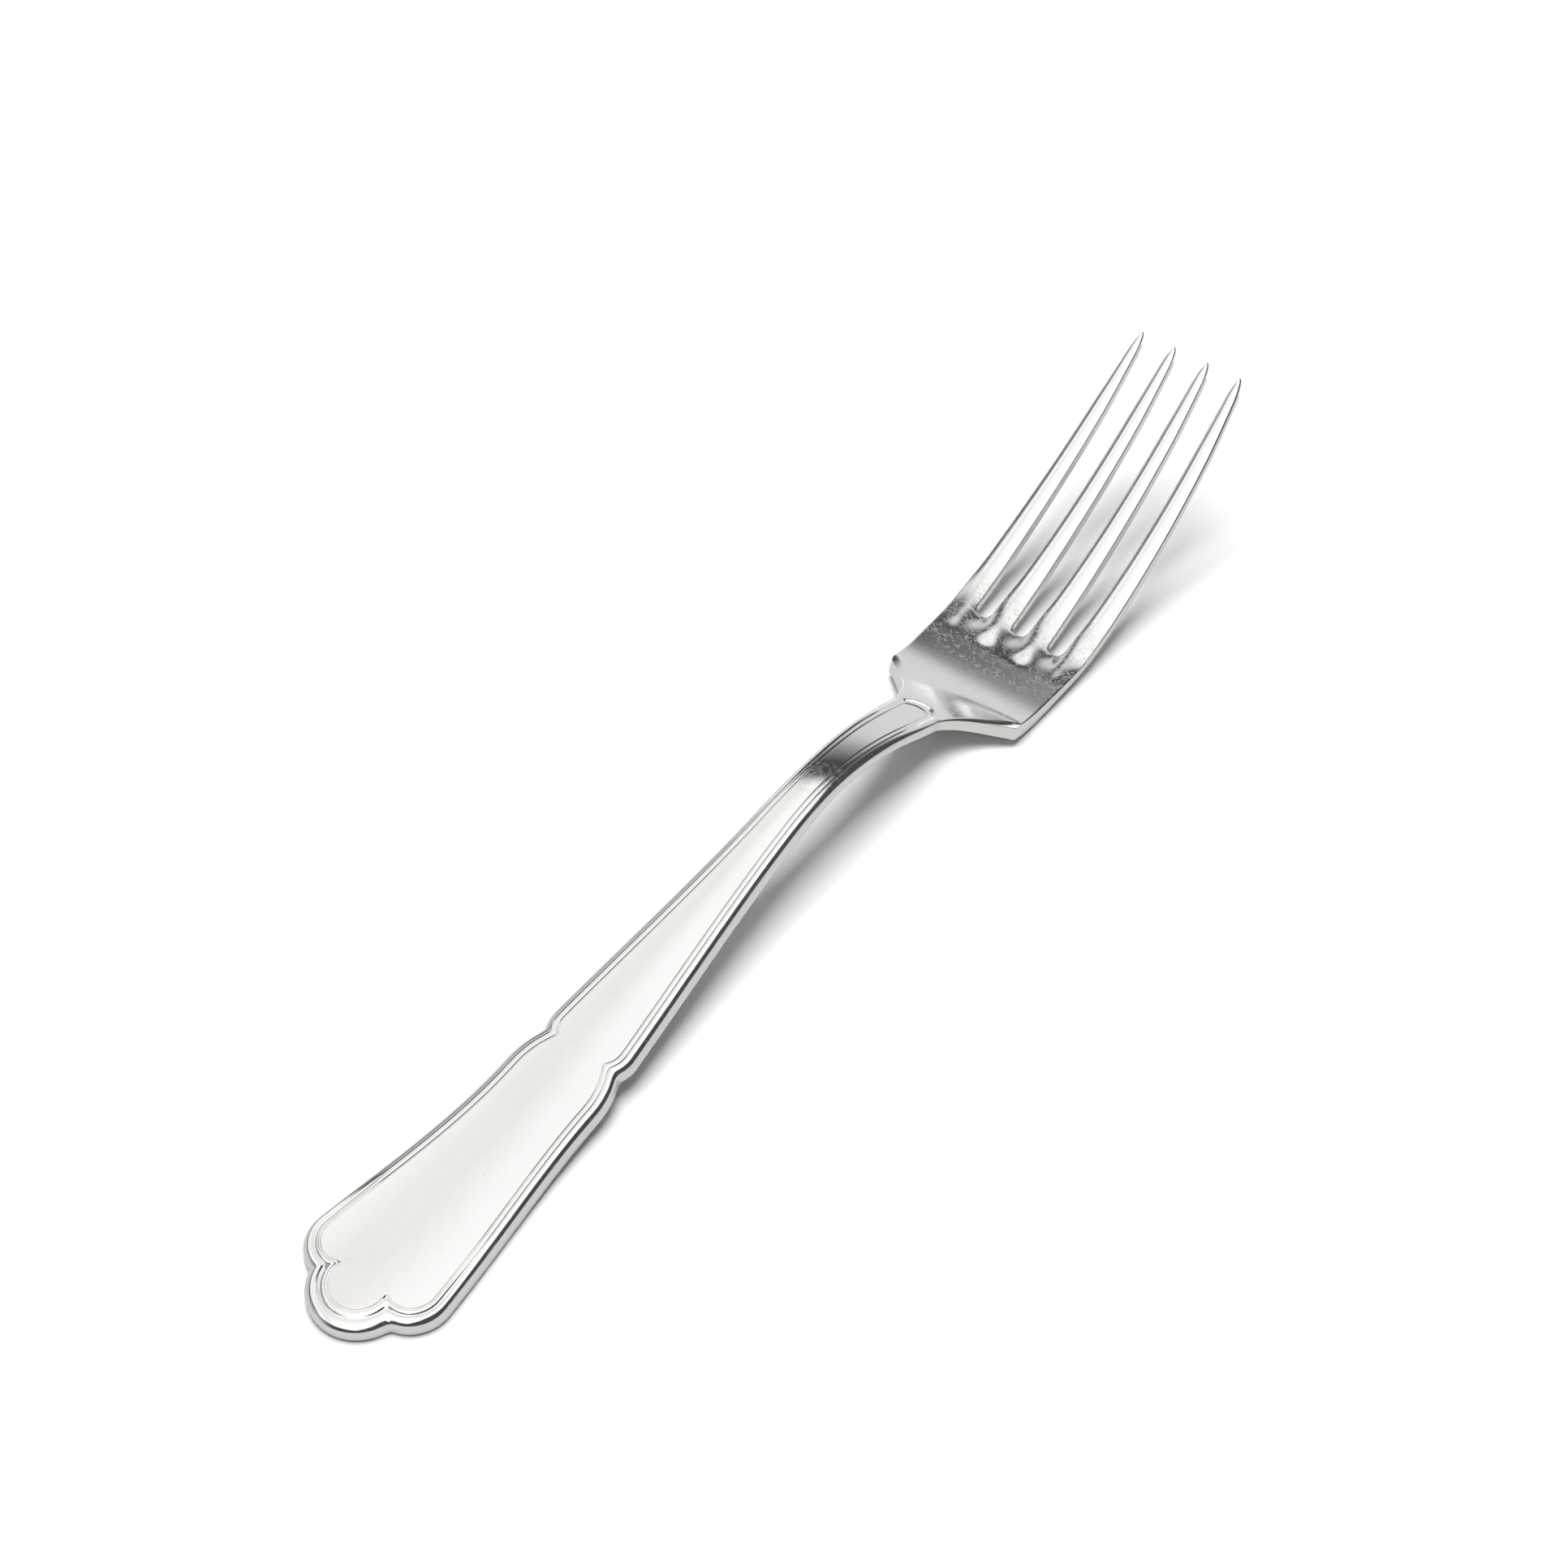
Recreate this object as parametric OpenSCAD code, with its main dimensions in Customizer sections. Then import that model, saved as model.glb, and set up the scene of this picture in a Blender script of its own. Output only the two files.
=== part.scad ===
// Four-tine table fork with a thread-edged, lobed handle.
// One metal blank, drawn flat as x across, s along and n above its rim, then bent.
// Regions of the blank are separate nodes that meet on planes square to it.

/* [Handle outline] */
// Width across the two shoulder lobes of the handle
handle_w = 23.4; // [20:0.1:27]
// Length along the blank from the handle's end to the start of the crest
handle_len = 98; // [88:0.5:108]
// Radius of the round lobe at the end
end_r = 7.3; // [6.4:0.1:8]
// Radius of each shoulder lobe
shoulder_r = 6.05; // [5.4:0.05:6.6]
// Distance of the shoulder lobes' centres from the end
shoulder_s = 11.2; // [10:0.1:12.5]
// Width below the side notches
waist_w = 16.4; // [14.6:0.1:17.6]
// Distance from the end at which the side starts to curve in to the notch
waist_s = 46; // [42:0.5:49]
// Radius of the curve that leads into the notch
waist_r = 14.8; // [13:0.1:17]
// Width just above the side notches
upper_w = 14.6; // [13.4:0.1:15.2]
// Distance of the widest place above the notches from the end
upper_s = 55.3; // [53.5:0.1:57]
// Radius of the lobe above each notch
upper_r = 5.5; // [4.6:0.1:7]

/* [Border] */
// Width of the rounded outer rim
rim_w = 1.1; // [0.8:0.05:1.2]
// Width of the inner thread, flank to flank
thread_w = 0.95; // [0.7:0.05:1.1]
// Width of the step from the thread to the panel
panel_step_w = 0.35; // [0.25:0.05:0.45]
// Depth of the two border grooves
groove_d = 0.4; // [0.2:0.05:0.6]
// Drop of the thread's top below the rim's top
thread_drop = 0.08; // [0:0.02:0.2]
// Drop of the panel's edge below the rim's top
panel_drop = 0.1; // [0:0.02:0.25]
// Rise of the panel's middle over its edge
panel_crown = 0.3; // [0:0.05:0.5]
// Width of each groove's outer flank
groove_w = 0.3; // [0.2:0.02:0.4]
// Radius of the rim's outer side
edge_round = 0.7; // [0.4:0.05:0.8]
// Rounding under the edges of the handle and the neck
back_round = 0.5; // [0.2:0.05:0.7]

/* [Neck] */
// Length along the blank from the crest's start to the collar
neck_len = 35.2; // [31:0.1:40]
// Width of the neck at its narrowest
neck_w = 7; // [6:0.1:8]
// Distance of the narrowest place past the crest's start
neck_dip = 9; // [5:0.5:15]
// Width of the neck at the collar
collar_w = 8.4; // [7.4:0.1:10]
// Length of the plain collar between the border lines and the head
collar_len = 0.7; // [0.4:0.1:1.5]

/* [Head] */
// Width across the head's shoulders
shoulder_w = 24; // [20:0.1:28]
// Width across the outer tines at the slot roots
root_w = 24.5; // [22:0.1:28]
// Length of the rear edges, from the collar to the shoulders
rear_len = 10.7; // [8:0.1:14]
// Length along the blank from the collar to the slot roots
head_len = 27.6; // [25:0.1:34]
// Rounding of the head's edges
head_round = 0.32; // [0.2:0.02:0.4]
// Width of the bevel along the rear edges at the shoulders
bevel_w = 0.9; // [0.4:0.05:1.4]
// Depth of that bevel
bevel_d = 0.65; // [0.35:0.05:0.9]
// Depth of the palm below its side edges
dish_d = 0.65; // [0:0.05:0.9]
// Depth of the dimple behind each slot root
dimple_d = 0.35; // [0:0.05:0.6]
// Length of the dimples and of the tine ridges' run-out
ridge_len = 5; // [3:0.25:8]

/* [Tines] */
// Length along the blank from the slot roots to the tips
tine_len = 52.4; // [44:0.2:62]
// Distance between the slots at their roots
root_pitch = 6.85; // [6.5:0.05:7.6]
// Distance between the slots at the tips
tip_pitch = 6.1; // [5.8:0.05:6.9]
// Width of a slot at its root
slot_root_w = 2.76; // [2.2:0.02:3.2]
// Width of a slot at the tips
slot_tip_w = 3.75; // [3.4:0.05:4.4]
// Width across the outer tines at the tips
tip_w = 20.4; // [18:0.1:23]
// Rise of a tine's rounded top over its edges
crown_h = 0.5; // [0.1:0.05:0.9]
// Length of the tapering end of a tine
point_len = 14; // [8:0.5:20]

/* [Thickness] */
// Thickness in the middle of the handle
handle_t = 3.05; // [2.3:0.05:3.6]
// Height of the handle's edge wall
edge_t = 2.95; // [2:0.05:3.3]
// Height of the neck's edge wall where it is thinnest, as far as the collar
neck_edge_t = 1.9; // [1.5:0.05:2.6]
// Thickness in the middle of the crest
crest_t = 3.2; // [2.5:0.05:4]
// Thickness from the palm's side edges to the belly
head_t = 3; // [2.4:0.05:3.6]
// Height of the head's edge wall
head_edge_t = 2.75; // [2:0.05:3.2]
// Height of a tine's side wall at the root
tine_root_t = 1.8; // [1.3:0.05:2.3]
// Height of a tine's side wall at the tip
tine_tip_t = 1.15; // [0.7:0.05:1.8]

/* [Bends] */
// Flat run under the handle's end, on which it rests
rest_run = 19.5; // [14:0.5:24]
// Length of the bend that lifts the handle
rise_run = 35; // [24:0.5:44]
// Slope of the handle
rise_angle = 10.7; // [8:0.1:13]
// Length of the bend over the crest
crest_run = 28.5; // [22:0.5:36]
// Slope of the neck down to the head
neck_angle = 24.1; // [20:0.1:28]
// Length of the bend from the neck to the belly
belly_run = 7.5; // [5:0.5:12]
// Flat run under the belly, on which the head rests
belly_flat = 5; // [3:0.25:7]
// Length of the bend from the belly to the tines
bowl_run = 14.8; // [10:0.2:18]
// Slope of the tines where that bend ends
bowl_angle = 22.5; // [16:0.5:28]
// Slope of the tines at their tips
tip_angle = 42; // [30:0.2:48]

/* [Hidden] */

// Stations along the blank
collar_s = handle_len + neck_len;
head_corner_s = collar_s + rear_len;
root_s = collar_s + head_len;
tip_s = root_s + tine_len;
slot_r = slot_root_w / 2;

// Bends: each piece of the side profile is its length and the angle that it turns
degree = PI / 180;
function rise_of(run, a, b) = a == b ? run * sin(a) : run / ((b - a) * degree) * (cos(a) - cos(b));
grip_run = handle_len - rest_run - rise_run;
lift = handle_t - head_t + rise_of(rise_run, 0, rise_angle) + grip_run * sin(rise_angle)
    + rise_of(crest_run, rise_angle, -neck_angle) + rise_of(belly_run, -neck_angle, 0);
neck_run = lift / sin(neck_angle);
flat_s = handle_len + crest_run + neck_run + belly_run;
bowl_end_s = flat_s + belly_flat + bowl_run;
bends = [
    [rest_run, 0],
    [rise_run, rise_angle],
    [grip_run, 0],
    [crest_run, -rise_angle - neck_angle],
    [neck_run, 0],
    [belly_run, neck_angle],
    [belly_flat, 0],
    [bowl_run, bowl_angle],
    [tip_s - bowl_end_s, tip_angle - bowl_angle]
];
// Each bend's start: station, y, z, heading
function step_on(f, bend, u) = bend[1] == 0
    ? [f[0] + u, f[1] + u * cos(f[3]), f[2] + u * sin(f[3]), f[3]]
    : let (r = bend[0] / (bend[1] * degree), a = f[3] + bend[1] * u / bend[0])
        [f[0] + u, f[1] + r * (sin(a) - sin(f[3])), f[2] + r * (cos(f[3]) - cos(a)), a];
last_bend = len(bends) - 1;
bend_starts = [
    for (i = 0, f = [0, 0, handle_t, 0];
        i <= last_bend;
        f = step_on(f, bends[i], bends[i][0]), i = i + 1) f
];
function bend_at(s, i = last_bend) = i == 0 || s >= bend_starts[i][0] ? i : bend_at(s, i - 1);
function bent(x, s, n) = let (i = bend_at(s), f = step_on(bend_starts[i], bends[i], s - bend_starts[i][0]))
    [x, f[1] - n * sin(f[3]), f[2] + n * cos(f[3])];

// Curve through two places with the given slopes
function curve(t, p, q, m0, m1, run) = (1 + 2 * t) * (1 - t) * (1 - t) * p + t * t * (3 - 2 * t) * q
    + run * t * (1 - t) * ((1 - t) * m0 - t * m1);
function mix(a, b, t) = a + (b - a) * t;
function clamped(t) = min(max(t, 0), 1);
function ease(t) = let (c = clamped(t)) c * c * (3 - 2 * c);
function flat_list(lists) = [for (l = lists) for (e = l) e];

// Handle outline, as half-widths at an inward distance d from the edge
end_c = [0, end_r];
shoulder_c = [handle_w / 2 - shoulder_r, shoulder_s];
waist_c = [waist_w / 2 - waist_r, waist_s];
upper_c = [upper_w / 2 - upper_r, upper_s];
// Place where two lobes meet, on the outer side
function meet(c, r, e, q) = let (v = e - c, l = norm(v), a = (r * r - q * q + l * l) / (2 * l))
    c + a * v / l + sqrt(max(r * r - a * a, 0)) * [v[1], -v[0]] / l;
function angle_at(c, p) = atan2(p[1] - c[1], p[0] - c[0]);
function lobe(c, r, end_radius, from, to, steps, first) = [
    for (i = [first:steps]) let (t = i / steps, a = mix(from, to, t))
        c + mix(r, end_radius, t) * [cos(a), sin(a)]
];
quarter = 90;
side_angle = 5.5;
upper_angle = 5;
end_steps = 8;
shoulder_steps = 7;
side_steps = 6;
waist_steps = 4;
upper_steps = 4;
taper_steps = 7;
side_start_x = shoulder_c[0] + shoulder_r * cos(side_angle);
side_start_s = shoulder_c[1] + shoulder_r * sin(side_angle);
upper_end_x = upper_c[0] + upper_r * cos(upper_angle);
upper_end_s = upper_c[1] + upper_r * sin(upper_angle);
dip_s = handle_len + neck_dip;
// Half-width of the handle's upper part and the neck
function stem_x(s) = s < dip_s
    ? curve((s - upper_end_s) / (dip_s - upper_end_s), upper_end_x, neck_w / 2,
        -tan(upper_angle), 0, dip_s - upper_end_s)
    : mix(neck_w / 2, collar_w / 2, ease((s - dip_s) / (collar_s - dip_s)));
function side_x(s) = let (run = waist_s - side_start_s)
    curve((s - side_start_s) / run, side_start_x, waist_w / 2, -tan(side_angle), 0, run);
function stem_point(s, d) = [stem_x(s) - d * stem_border(s), s];
// One column of the neck, whose rounding shrinks to the head's where the relief fades
function neck_point(k, s, fade) =
    stem_point(s, border_d[k] * (k < round_cols ? mix(head_round / edge_round, 1, fade) : 1));
// How much wider the border is round the lobes, and narrower on the neck, than along the sides
end_border_share = 1.45;
lobe_border_share = 1.25;
neck_border_share = 0.95;
function stem_border(s) = s < dip_s
    ? mix(1, neck_border_share, ease((s - upper_end_s) / (dip_s - upper_end_s)))
    : mix(neck_border_share, 1, ease((s - dip_s) / (collar_s - dip_s)));
function widened(d, share) = min(d, rim_w + thread_w) * share + max(d - rim_w - thread_w, 0);
function handle_line(d) = let (
        end_in = end_r - widened(d, end_border_share),
        lobe_in = shoulder_r - widened(d, lobe_border_share),
        cusp = meet(end_c, end_in, shoulder_c, lobe_in),
        notch = meet(waist_c, waist_r - d, upper_c, upper_r - d)
    ) flat_list([
        lobe(end_c, end_in, end_in, -quarter, angle_at(end_c, cusp), end_steps, 0),
        lobe(shoulder_c, lobe_in, shoulder_r - d, angle_at(shoulder_c, cusp), side_angle, shoulder_steps, 1),
        [for (i = [1:side_steps - 1]) let (s = mix(side_start_s, waist_s, i / side_steps))
            [side_x(s) - d, s]],
        lobe(waist_c, waist_r - d, waist_r - d, 0, angle_at(waist_c, notch), waist_steps, 0),
        lobe(upper_c, upper_r - d, upper_r - d, angle_at(upper_c, notch), upper_angle, upper_steps, 1),
        [for (i = [1:taper_steps]) let (s = mix(upper_end_s, handle_len, i / taper_steps)) stem_point(s, d)]
    ]);
// Station on the middle line for each row. The rows of the shoulder lobe start where the lobe's
// tangent at the cusp meets the middle line, so that they pass the cusp without crossing.
first_fan_share = 0.85;
function spine_s(line, i) = i <= end_steps || i >= end_steps + shoulder_steps
    ? line[i][1]
    : let (
        cusp = line[end_steps],
        top = line[end_steps + shoulder_steps][1],
        a = angle_at(shoulder_c, cusp),
        clear_s = min(cusp[1] + cusp[0] / tan(a), mix(cusp[1], top, first_fan_share))
    ) mix(clear_s, top, (i - end_steps - 1) / (shoulder_steps - 1));

// Border: distances in from the edge, and heights there
diagonal_share = 1 - sqrt(0.5);
border_d = [
    0,
    diagonal_share * edge_round,
    edge_round,
    rim_w - groove_w / 2,
    rim_w + groove_w / 2,
    rim_w + (thread_w - groove_w) / 2,
    rim_w + (thread_w + groove_w) / 2,
    rim_w + thread_w,
    rim_w + thread_w + panel_step_w
];
border_n = [
    -edge_round,
    -diagonal_share * edge_round,
    0,
    -thread_drop / 2,
    -groove_d,
    -thread_drop,
    -thread_drop,
    -groove_d,
    -panel_drop
];
// Share of the way from the edge wall's height to the middle thickness, and of the rounding below
back_shares = [0, 0, 0, 0.2, 0.4, 0.55, 0.7, 0.85, 1];
back_round_shares = [1, diagonal_share, 0, 0, 0, 0, 0, 0, 0];
// Share of the panel's crown that is reached half way to its middle
half_crown_share = 0.75;
cols = len(border_d);
round_cols = 3;
// Middle thickness along the handle and the neck
function stem_t(s) = s < handle_len
    ? mix(handle_t, crest_t, ease((s - rest_run) / (handle_len - rest_run)))
    : mix(crest_t, head_t, ease((s - handle_len) / neck_len));
// Height of the edge wall: it thins from the middle of the handle's upper part to a place on the neck
thin_from_share = 0.75;
thin_to_share = 0.65;
thin_from_s = mix(upper_s, handle_len, thin_from_share);
thin_to_s = mix(handle_len, collar_s, thin_to_share);
function stem_edge_t(s) = mix(edge_t, neck_edge_t, ease((s - thin_from_s) / (thin_to_s - thin_from_s)));
// Heights of one column: top and back, with the border's relief faded by a factor
function stem_top(k, fade) = border_n[k] * (k < round_cols ? mix(head_round / edge_round, 1, fade) : fade);
function stem_back(k, s) = back_round * back_round_shares[k] - mix(stem_edge_t(s), stem_t(s), back_shares[k]);
function stem_row(line_pts, mid_s, fade, back) = let (
        inner = line_pts[cols - 1],
        crown = -fade * panel_drop + fade * panel_crown,
        half = [inner[0] / 2, (inner[1] + mid_s) / 2],
        left = [for (k = [0:cols - 1]) let (p = line_pts[k])
            bent(-p[0], p[1], back ? stem_back(k, p[1]) : stem_top(k, fade))],
        right = [for (k = [cols - 1:-1:0]) let (p = line_pts[k])
            bent(p[0], p[1], back ? stem_back(k, p[1]) : stem_top(k, fade))],
        half_n = back ? -stem_t(half[1]) : mix(-fade * panel_drop, crown, half_crown_share),
        mid_n = back ? -stem_t(mid_s) : crown
    ) flat_list([
        left,
        [bent(-half[0], half[1], half_n)],
        [bent(0, mid_s, mid_n)],
        [bent(half[0], half[1], half_n)],
        right
    ]);

// Closed solid between a grid of top points and a grid of back points.
// With a round start, the first row's two halves are one, so it needs no cap.
function no_slivers(t) = t[0] == t[1] || t[1] == t[2] || t[0] == t[2] ? [] : [t];
module slab(top, back, round_start = false) {
    rows = len(top);
    m = len(top[0]);
    function id(i, j) = i * m + (round_start && i == 0 ? min(min(j, m - 1 - j), cols - 1) : j);
    function low(i, j) = rows * m + id(i, j);
    function quad(a, b, c, d) = concat(no_slivers([a, b, c]), no_slivers([a, c, d]));
    faces = flat_list([
        for (i = [0:rows - 2]) for (j = [0:m - 2])
            quad(id(i, j), id(i + 1, j), id(i + 1, j + 1), id(i, j + 1)),
        for (i = [0:rows - 2]) for (j = [0:m - 2])
            quad(low(i, j), low(i, j + 1), low(i + 1, j + 1), low(i + 1, j)),
        for (i = [0:rows - 2])
            quad(id(i, 0), low(i, 0), low(i + 1, 0), id(i + 1, 0)),
        for (i = [0:rows - 2])
            quad(id(i, m - 1), id(i + 1, m - 1), low(i + 1, m - 1), low(i, m - 1)),
        for (j = [0:m - 2]) round_start ? []
            : quad(id(0, j), id(0, j + 1), low(0, j + 1), low(0, j)),
        for (j = [0:m - 2])
            quad(id(rows - 1, j), low(rows - 1, j), low(rows - 1, j + 1), id(rows - 1, j + 1))
    ]);
    translate([0, -middle_y, 0]) polyhedron(points = concat(flat_list(top), flat_list(back)), faces = faces);
}

// Neck rows: stations, and how much of the border's relief is left
neck_steps = 12;
neck_stations = flat_list([
    [for (i = [0:neck_steps]) [mix(handle_len, collar_s - 2 * collar_len, i / neck_steps), 1]],
    [[collar_s - collar_len, 0], [collar_s, 0]]
]);

// Head outline: rear edges as a bent curve from the collar, then the sides
rear_pull_x_share = 0.23;
rear_pull_s_share = 0.63;
rear_steps = 7;
rear_pull = [mix(collar_w, shoulder_w, rear_pull_x_share) / 2, collar_s + rear_pull_s_share * rear_len];
function rear_point(t) = (1 - t) * (1 - t) * [collar_w / 2, collar_s] + 2 * t * (1 - t) * rear_pull
    + t * t * [shoulder_w / 2, head_corner_s];
// Stations of the side rows: to the belly's flat, along it, and on to the slot roots
front_first_shares = [0.2, 0.3];
front_last_shares = [0.6, 0.75];
function front_at(t) = mix(head_corner_s, root_s, t);
function held(s, k) = min(max(s, front_at(front_first_shares[k])), front_at(front_last_shares[k]));
flat_rows = [held(flat_s, 0), held(flat_s + belly_flat, 1)];
front_stretches = [
    [head_corner_s, flat_rows[0], 3],
    [flat_rows[0], flat_rows[1], 2],
    [flat_rows[1], root_s, 5]
];
head_line = flat_list([
    [for (i = [0:rear_steps]) rear_point(i / rear_steps)],
    [for (f = front_stretches) for (i = [1:f[2]]) let (s = mix(f[0], f[1], i / f[2]))
        [mix(shoulder_w, root_w, (s - head_corner_s) / (root_s - head_corner_s)) / 2, s]]
]);

// Tines: slot centres and widths, outer edge, and one tine's two edges at a station
bow_share = 1.6;
thin_share = 4.5;
// Power of the slot roots' curve: 2 is a round root, more is a squarer one
root_power = 3;
function along(s) = clamped((s - root_s) / tine_len);
function slot_x(k, s) = k * mix(root_pitch, tip_pitch, pow(along(s), bow_share));
function past_root(s) = clamped((s - root_s - slot_r) / (tine_len - slot_r));
function slot_half(s) = s >= root_s + slot_r
    ? mix(slot_tip_w, slot_root_w, pow(1 - past_root(s), thin_share)) / 2
    : slot_r * pow(max(1 - pow(1 - (s - root_s) / slot_r, root_power), 0), 1 / root_power);
function outer_x(s) = mix(root_w, tip_w, pow(along(s), bow_share)) / 2;
function tine_left(n, s) = n == 1 ? -outer_x(s) : slot_x(n - 3, s) + slot_half(s);
function tine_right(n, s) = n == 4 ? outer_x(s) : slot_x(n - 2, s) - slot_half(s);
function tine_t(s) = mix(tine_root_t, tine_tip_t, along(s));

// One tine's section: places across it, and how its tapering end narrows it
across_shares = [-1, -0.8, -0.4, 0, 0.4, 0.8, 1];
point_shares = [[0, 1], [0.25, 0.95], [0.5, 0.87], [0.7, 0.81], [0.8, 0.74], [0.88, 0.61], [0.94, 0.45], [1, 0.22]];
// How much of the narrowing at the point the thickness follows
thin_point_share = 0.6;
tine_back_round = 0.25;
root_steps = 5;
shaft_steps = 9;
point_s = tip_s - point_len;
function tine_top_n(v, edge_n) = mix(edge_n, crown_h, 1 - v * v);
function tine_back_n(v, t) = abs(v) == 1 ? tine_back_round - t : -t;
// Stations of a tine's rows, with the factor that narrows each one
tine_rows = flat_list([
    [for (i = [0:root_steps]) [root_s + slot_r * (1 - cos(quarter * i / root_steps)), 1]],
    [for (i = [1:shaft_steps]) [mix(root_s + slot_r, point_s, i / shaft_steps), 1]],
    [for (i = [1:len(point_shares) - 1]) [mix(point_s, tip_s, point_shares[i][0]), point_shares[i][1]]]
]);
// Depth of the dimple at a tine's edge, which ends where the slot is open
function edge_dip(s) = -dimple_d * (1 - ease((s - root_s) / slot_r));
function tine_row(n, row, back) = let (
        s = row[0],
        l = tine_left(n, s),
        r = tine_right(n, s),
        c = (l + r) / 2,
        w = (r - l) / 2 * row[1],
        t = tine_t(s) * mix(1, row[1], thin_point_share)
    ) [
        for (v = across_shares) let (
            inner = (n == 1 && v < 0) || (n == 4 && v > 0) ? 0 : edge_dip(s),
            top_n = tine_top_n(v, inner) * mix(1, row[1], thin_point_share)
        ) bent(c + v * w, s, back ? tine_back_n(v, t) : top_n)
    ];

// Head columns: the four tines' columns at the slot roots, shared where tines meet
root_columns = flat_list([
    for (n = [1:4]) [for (k = [(n == 1 ? 0 : 1):len(across_shares) - 1]) let (
            l = tine_left(n, root_s), r = tine_right(n, root_s), v = across_shares[k]
        ) [(l + r) / 2 + v * (r - l) / 2, v, n]]
]);
// Share of the half-width over which the back rises to the edge walls
back_rise_share = 0.45;
// How far the ridges have risen, and how deep the palm lies, at a station
function ridge(s) = ease(1 - (root_s - s) / ridge_len);
function palm(s) = ease((s - collar_s) / rear_len) * (1 - ridge(s));
function head_mid_t(s) = mix(head_t, tine_root_t, ease((s - flat_rows[1]) / (root_s - flat_rows[1])));
function head_wall(s) = s < head_corner_s
    ? mix(neck_edge_t, head_edge_t, ease((s - collar_s) / rear_len))
    : mix(head_edge_t, tine_root_t, ease((s - head_corner_s) / (root_s - head_corner_s)));
function head_row(p, back) = let (
        w = p[0],
        s = p[1],
        last = len(root_columns) - 1,
        rear = 1 - ease((s - head_corner_s) / head_round),
        grown = rear * ease((s - collar_s) / rear_len),
        in_w = mix(head_round, bevel_w, grown),
        up = 1 - ridge(s)
    ) [
        for (j = [0:last]) let (
            u = 2 * root_columns[j][0] / root_w,
            v = root_columns[j][1],
            n = root_columns[j][2],
            edge = j == 0 || j == last,
            x = edge ? u * w : u / abs(root_columns[1][0] / (root_w / 2)) * (w - in_w),
            outer = (n == 1 && v < 0) || (n == 4 && v > 0),
            ridge_n = tine_top_n(v, outer ? 0 : -dimple_d),
            drop = mix(head_round, bevel_d, grown),
            top_n = edge ? -drop * up : mix(-dish_d * palm(s) * (1 - u * u), ridge_n, ridge(s)),
            deep = mix(head_wall(s), head_mid_t(s), ease((1 - abs(u)) / back_rise_share)),
            back_n = edge ? head_round - head_wall(s) : mix(-deep, tine_back_n(v, tine_root_t), ridge(s))
        ) bent(x, s, back ? mix(back_n, edge ? tine_back_round - tine_root_t : back_n, ridge(s)) : top_n)
    ];

// The blank's middle, half way from the handle's end to the tips
tip_points = [for (b = [false, true]) for (p = tine_row(1, tine_rows[len(tine_rows) - 1], b)) p[1]];
middle_y = max(tip_points) / 2;

lines = [for (d = border_d) handle_line(d)];

module handle() {
    rows = [for (i = [0:len(lines[0]) - 1]) [for (k = [0:cols - 1]) lines[k][i]]];
    color("lightsteelblue") slab(
        [for (i = [0:len(rows) - 1]) stem_row(rows[i], spine_s(lines[cols - 1], i), 1, false)],
        [for (i = [0:len(rows) - 1]) stem_row(rows[i], spine_s(lines[cols - 1], i), 1, true)],
        true
    );
}

module neck() {
    function row_at(f, back) = stem_row([for (k = [0:cols - 1]) neck_point(k, f[0], f[1])], f[0], f[1], back);
    color("steelblue") slab(
        [for (f = neck_stations) row_at(f, false)],
        [for (f = neck_stations) row_at(f, true)]
    );
}

module head() {
    color("slategray") slab(
        [for (p = head_line) head_row(p, false)],
        [for (p = head_line) head_row(p, true)]
    );
}

module tine(n) {
    color("silver") slab(
        [for (r = tine_rows) tine_row(n, r, false)],
        [for (r = tine_rows) tine_row(n, r, true)]
    );
}

handle();
neck();
head();
tine(1);  // tine_1
tine(2);  // tine_2
tine(3);  // tine_3
tine(4);  // tine_4
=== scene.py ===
from math import atan2, cos, degrees, hypot, pi, radians, sin, sqrt, tan

import bpy
import numpy as np
from mathutils import Matrix, Vector


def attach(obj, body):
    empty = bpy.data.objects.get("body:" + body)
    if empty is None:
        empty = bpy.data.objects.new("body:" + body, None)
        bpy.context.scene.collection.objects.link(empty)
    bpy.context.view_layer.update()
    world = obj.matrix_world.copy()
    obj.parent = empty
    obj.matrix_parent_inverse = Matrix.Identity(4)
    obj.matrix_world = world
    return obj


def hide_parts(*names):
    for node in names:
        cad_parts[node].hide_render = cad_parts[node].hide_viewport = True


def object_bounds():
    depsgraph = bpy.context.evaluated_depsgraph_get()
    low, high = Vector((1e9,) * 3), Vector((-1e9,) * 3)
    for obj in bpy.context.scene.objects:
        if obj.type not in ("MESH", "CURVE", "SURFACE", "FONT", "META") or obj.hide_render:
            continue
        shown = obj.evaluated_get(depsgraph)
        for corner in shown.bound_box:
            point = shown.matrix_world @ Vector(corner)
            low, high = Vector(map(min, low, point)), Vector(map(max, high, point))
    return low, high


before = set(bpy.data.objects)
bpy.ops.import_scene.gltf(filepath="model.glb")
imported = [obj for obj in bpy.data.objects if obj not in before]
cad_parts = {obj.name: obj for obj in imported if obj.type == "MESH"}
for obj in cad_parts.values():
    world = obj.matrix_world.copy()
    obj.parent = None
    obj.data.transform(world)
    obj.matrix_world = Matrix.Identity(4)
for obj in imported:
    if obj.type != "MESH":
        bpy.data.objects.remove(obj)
cad_low, cad_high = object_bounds()

# Sizes in millimetres. The blank is drawn flat, x across, s along and n above its rim,
# and then bent.
MM = 0.001

# Handle
HANDLE_W = 23.4
HANDLE_LEN = 98
END_R = 7.3
SHOULDER_R = 6.05
SHOULDER_S = 11.2
WAIST_W = 16.4
WAIST_S = 46
WAIST_R = 14.8
UPPER_W = 14.6
UPPER_S = 55.3
UPPER_R = 5.5
SIDE_ANGLE = 5.5
UPPER_ANGLE = 5

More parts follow.
